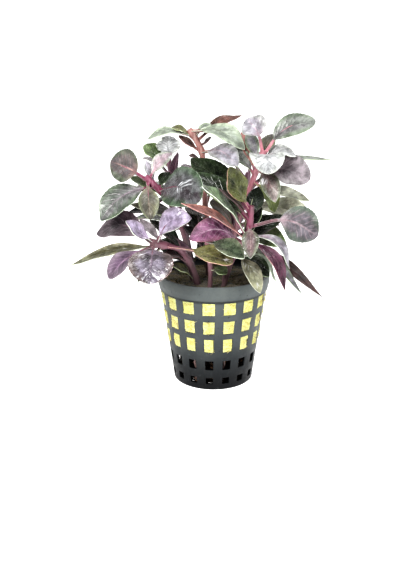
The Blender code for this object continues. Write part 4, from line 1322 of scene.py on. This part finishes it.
rightHigh = dict(
    name="right_high", radius=1.2, tone="pink",
    path=[(4, -2), (10, -5, 75), (17, -8, 98), (22.5, -9, 114)],
    leaves=[
        leaf(0.99, (14.5, -4, 127.5), 12.5, "stalked", "lavender", bow=2.6, face=50),
        leaf(0.98, (45.2, -8, 127), 10.5, "disc", "grey_green", bow=5, face=60, look="lilac_green", cup=14),
        leaf(0.97, (23.5, -25, 105.5), 15.5, "broad", "silver_green", bow=4, look="silver", cup=14),
        leaf(0.92, (37, -10, 111.5), 10, "oval", "silver_green", bow=4.2, face=20, look="silver"),
        leaf(0.88, (43.5, -12, 101.5), 16, "round", "dark_purple", bow=2.2, face=50, look="dusky"),
        leaf(0.90, (55.5, 7, 108), 5.5, "lance", "grey_green", bow=2, face=15),
        leaf(0.88, (27, -24, 93), 8.5, "oval", "lavender", bow=2.5, face=30, look="taupe"),
        leaf(0.80, (28, -11, 86), 11, "oval", "olive", bow=2, face=25, look="lime"),
        leaf(0.94, (27, 4, 120), 7, "oval", "olive", bow=0.5, face=20, small=True, look="khaki"),
        leaf(0.92, (15.5, 2, 122), 6.5, "oval", "dark_green", bow=-0.5, face=20, small=True,
             look="grey_green"),
        leaf(0.84, (7, -3, 116.5), 8, "oval", "grey_green", bow=0.5, face=30, small=True),
        leaf(0.74, (35, 16, 102), 10, "spoon", "grey_purple", bow=3, small=True),
        leaf(0.50, (38, 10, 76), 11, "spoon", "silver_green", bow=3, small=True, look="dark_green"),
        leaf(0.46, (-2, -15, 91), 14, "oval", "brown_red", bow=2, face=45, small=True, look="spotted"),
        leaf(0.86, (12.5, 3, 121), 6, "oval", "salmon", bow=0.5, face=20, small=True),
    ],
)
rightFront = dict(
    name="right_front", radius=1.2, tone="magenta",
    path=[(3, -10), (9, -17, 66), (15, -25, 78), (16.5, -27, 92)],
    leaves=[
        leaf(0.94, (-11, 2, 109), 14, "oval", "dark_green", bow=2, face=35),
        leaf(0.87, (-9.5, -21.5, 105.5), 12, "oval", "dark_green", bow=2, face=40),
        leaf(0.98, (6.5, -28, 109), 13, "oval", "olive", bow=-0.5, face=50, look="olive_green"),
        leaf(0.75, (-5, -43, 103), 11, "oval", "green", bow=3, face=40, look="fresh_green"),
        leaf(0.71, (-13.5, -43, 96), 6, "lance", "salmon", bow=2.5, face=40),
        leaf(0.66, (-10.5, -38, 79.5), 11, "oval", "magenta_leaf", bow=5, face=60),
        leaf(0.84, (15.5, -43, 72.5), 7.5, "oval", "lavender", bow=2, look="taupe"),
        leaf(0.72, (31.5, -37, 56), 6, "lance", "dark_purple", bow=5.5, face=30, look="dark_magenta"),
        leaf(0.76, (33.5, -32, 65), 5, "lance", "lavender", bow=5.5, face=30),
        leaf(0.83, (45, -33, 80), 16.5, "stalked", "grey_purple", bow=5, face=60, look="lilac_grey", cup=14),
        leaf(0.48, (25, -28, 60), 9, "oval", "dark_green", bow=2, face=30),
        leaf(0.52, (20.5, -38, 55.5), 8, "oval", "olive", bow=3, face=10, look="cream_green"),
        leaf(0.90, (2, -33, 100.5), 5, "oval", "brown_red", bow=0.5, face=30, small=True),
        leaf(0.56, (32, -13, 85), 10, "oval", "dark_green", bow=2, face=30, small=True, look="deep_green"),
        leaf(0.44, (-4, -22, 84), 9, "oval", "dark_green", bow=2, face=45, small=True, look="deep_green"),
        leaf(0.62, (17, -21, 94), 4.6, "oval", "olive", bow=0.3, small=True, look="spotted"),
        leaf(0.50, (29, -18, 54.8), 6, "oval", "pale_green", bow=5, face=20, small=True),
        leaf(0.86, (20, -16, 98.5), 8, "oval", "dark_green", bow=0.5, face=20, small=True, look="deep_green"),
        leaf(0.62, (21.5, -18, 90), 8, "oval", "green", bow=0.5, face=20, small=True, look="dark_green"),
    ],
)
front = dict(
    name="front", radius=1.1, tone="pink",
    path=[(-2, -13), (-1.5, -18, 60), (-2.5, -26, 72), (-3.5, -31, 78)],
    leaves=[
        leaf(0.97, (12.5, -50.5, 74.5), 9, "oval", "dark_green", bow=2, face=30, look="glossy_green"),
        leaf(0.46, (6, -22, 59.5), 7, "round", "green", face=20, small=True),
        leaf(0.60, (-7.5, -22, 87.5), 9, "oval", "dark_green", bow=0.5, face=20, small=True,
             look="deep_green"),
        leaf(0.75, (-13.5, -26, 82.5), 9, "oval", "dark_purple", bow=0.5, face=20, small=True,
             look="plum_black"),
    ],
)
back = dict(
    name="back", radius=1.3, tone="mauve",
    path=[(3, 9), (9, 14, 70), (15, 18, 88), (17, 20, 100)],
    leaves=[
        leaf(0.70, (48, -12, 79.5), 13.5, "oval", "grey_green", bow=5, face=30, look="pale_lime"),
        leaf(0.84, (46, 5, 88.5), 9, "oval", "pale_green", bow=2.4, face=20, look="pale_lime"),
        leaf(0.45, (33, -20, 72.5), 12, "oval", "green", bow=4, face=45),
        leaf(0.40, (41, -23, 50), 5.5, "lance", "grey_green", bow=6.5, face=25),
        leaf(0.36, (51, -17, 47), 7, "lance", "brown_red", bow=5.5, face=25),
        leaf(0.98, (22, 40, 108), 12, "spoon", "grey_purple", bow=3),
        leaf(0.95, (-2, 30, 110), 11, "spoon", "grey_green", bow=3),
        leaf(0.88, (38, 28, 96), 12, "spoon", "silver_green", bow=4),
        leaf(0.75, (10, 46, 88), 10, "spoon", "green", bow=4, small=True, look="dark_green"),
        leaf(0.50, (34, 34, 70), 11, "spoon", "grey_purple", bow=4, small=True, look="dusky"),
        leaf(0.42, (-6, 40, 68), 9, "oval", "olive", bow=4, small=True, look="deep_green"),
        leaf(0.44, (11, 1, 85), 11, "oval", "dark_green", small=True, look="deep_green"),
    ],
)


shoots = [leftHigh, leftLow, leftBack, top, rightHigh, rightFront, front, back]


# stems, then the leaves on them

stemShape = dict(
    sides=12, steps=9,
    most=1.32,                         # the thickest that it grows, against its radius
    knuckle=0.26, knuckleLong=1.6,     # swelling under each leaf: its share of the radius, and its length
    foot=1.12, tip=0.8,                # thickness at the plug and at the crown, against the middle
    ridge=0.05,
    rootedAt=43.3,                     # height of its lower end, inside the wool
)


def stemPath(shoot, steps):
    return smoothPath([(*shoot["path"][0], stemShape["rootedAt"]), *shoot["path"][1:]], steps)


def growStem(shoot):
    path = stemPath(shoot, stemShape["steps"])
    total = sum((end - start).length for start, end in zip(path, path[1:]))
    bpy.ops.curve.primitive_nurbs_path_add()
    stem = bpy.context.object
    line = stem.data
    line.splines.clear()
    line.dimensions = "3D"
    line.bevel_depth = mm
    line.bevel_resolution = (stemShape["sides"] - 4) // 2
    line.use_fill_caps = True
    spline = line.splines.new("POLY")
    spline.points.add(len(path) - 1)
    gone = 0.0
    before = path[0]
    for point, place in zip(spline.points, path):
        gone += (place - before).length
        before = place
        share = gone / total
        thick = stemShape["foot"] + (stemShape["tip"] - stemShape["foot"]) * share
        for spec in shoot["leaves"]:
            off = (share - spec["at"]) * total / stemShape["knuckleLong"]
            thick += stemShape["knuckle"] * math.exp(-off * off) * min(1, spec["width"] / 10)
        point.co = (*(place * mm), 1.0)
        point.radius = shoot["radius"] * min(thick, stemShape["most"])
    pick(stem)
    bpy.ops.object.convert(target="MESH")
    stem = bpy.context.object
    settle(stem)
    bpy.ops.object.mode_set(mode="EDIT")
    bpy.ops.mesh.select_all(action="SELECT")
    bpy.ops.mesh.remove_doubles(threshold=0.00001)
    bpy.ops.mesh.normals_make_consistent(inside=False)
    bpy.ops.object.mode_set(mode="OBJECT")
    for vert in stem.data.vertices:
        # shallow ridges that run up the stem
        swell = noise.noise(Vector((vert.co.x / mm * 0.9, vert.co.y / mm * 0.9, vert.co.z / mm * 0.12)))
        vert.co += vert.normal * swell * stemShape["ridge"] * 2 * mm
    pick(stem)
    bpy.ops.object.shade_smooth_by_angle(angle=math.radians(50))
    stem.data.materials.clear()
    stem.data.materials.append(stalkSkins[shoot["tone"]])
    return stem


for shoot in shoots:
    stem = growStem(shoot)
    stem.name = stem.data.name = shoot["name"] + "_stem"
    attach(stem, "root")
    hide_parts("stem_" + shoot["name"])
print("stems grown")


for shoot in shoots:
    path = stemPath(shoot, 2)
    for number, spec in enumerate(shoot["leaves"], start=1):
        growLeaf(shoot, path, number, spec)
    print("leaves of", shoot["name"], "grown")
for pattern in list(patterns.values()) + [ribPattern, strand]:
    bpy.data.objects.remove(pattern)
# the two thick roots keep their CAD shape and get a skin
for node in ("root_left", "root_right"):
    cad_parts[node].data.materials.clear()
    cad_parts[node].data.materials.append(stalkSkins["brown_pink"])
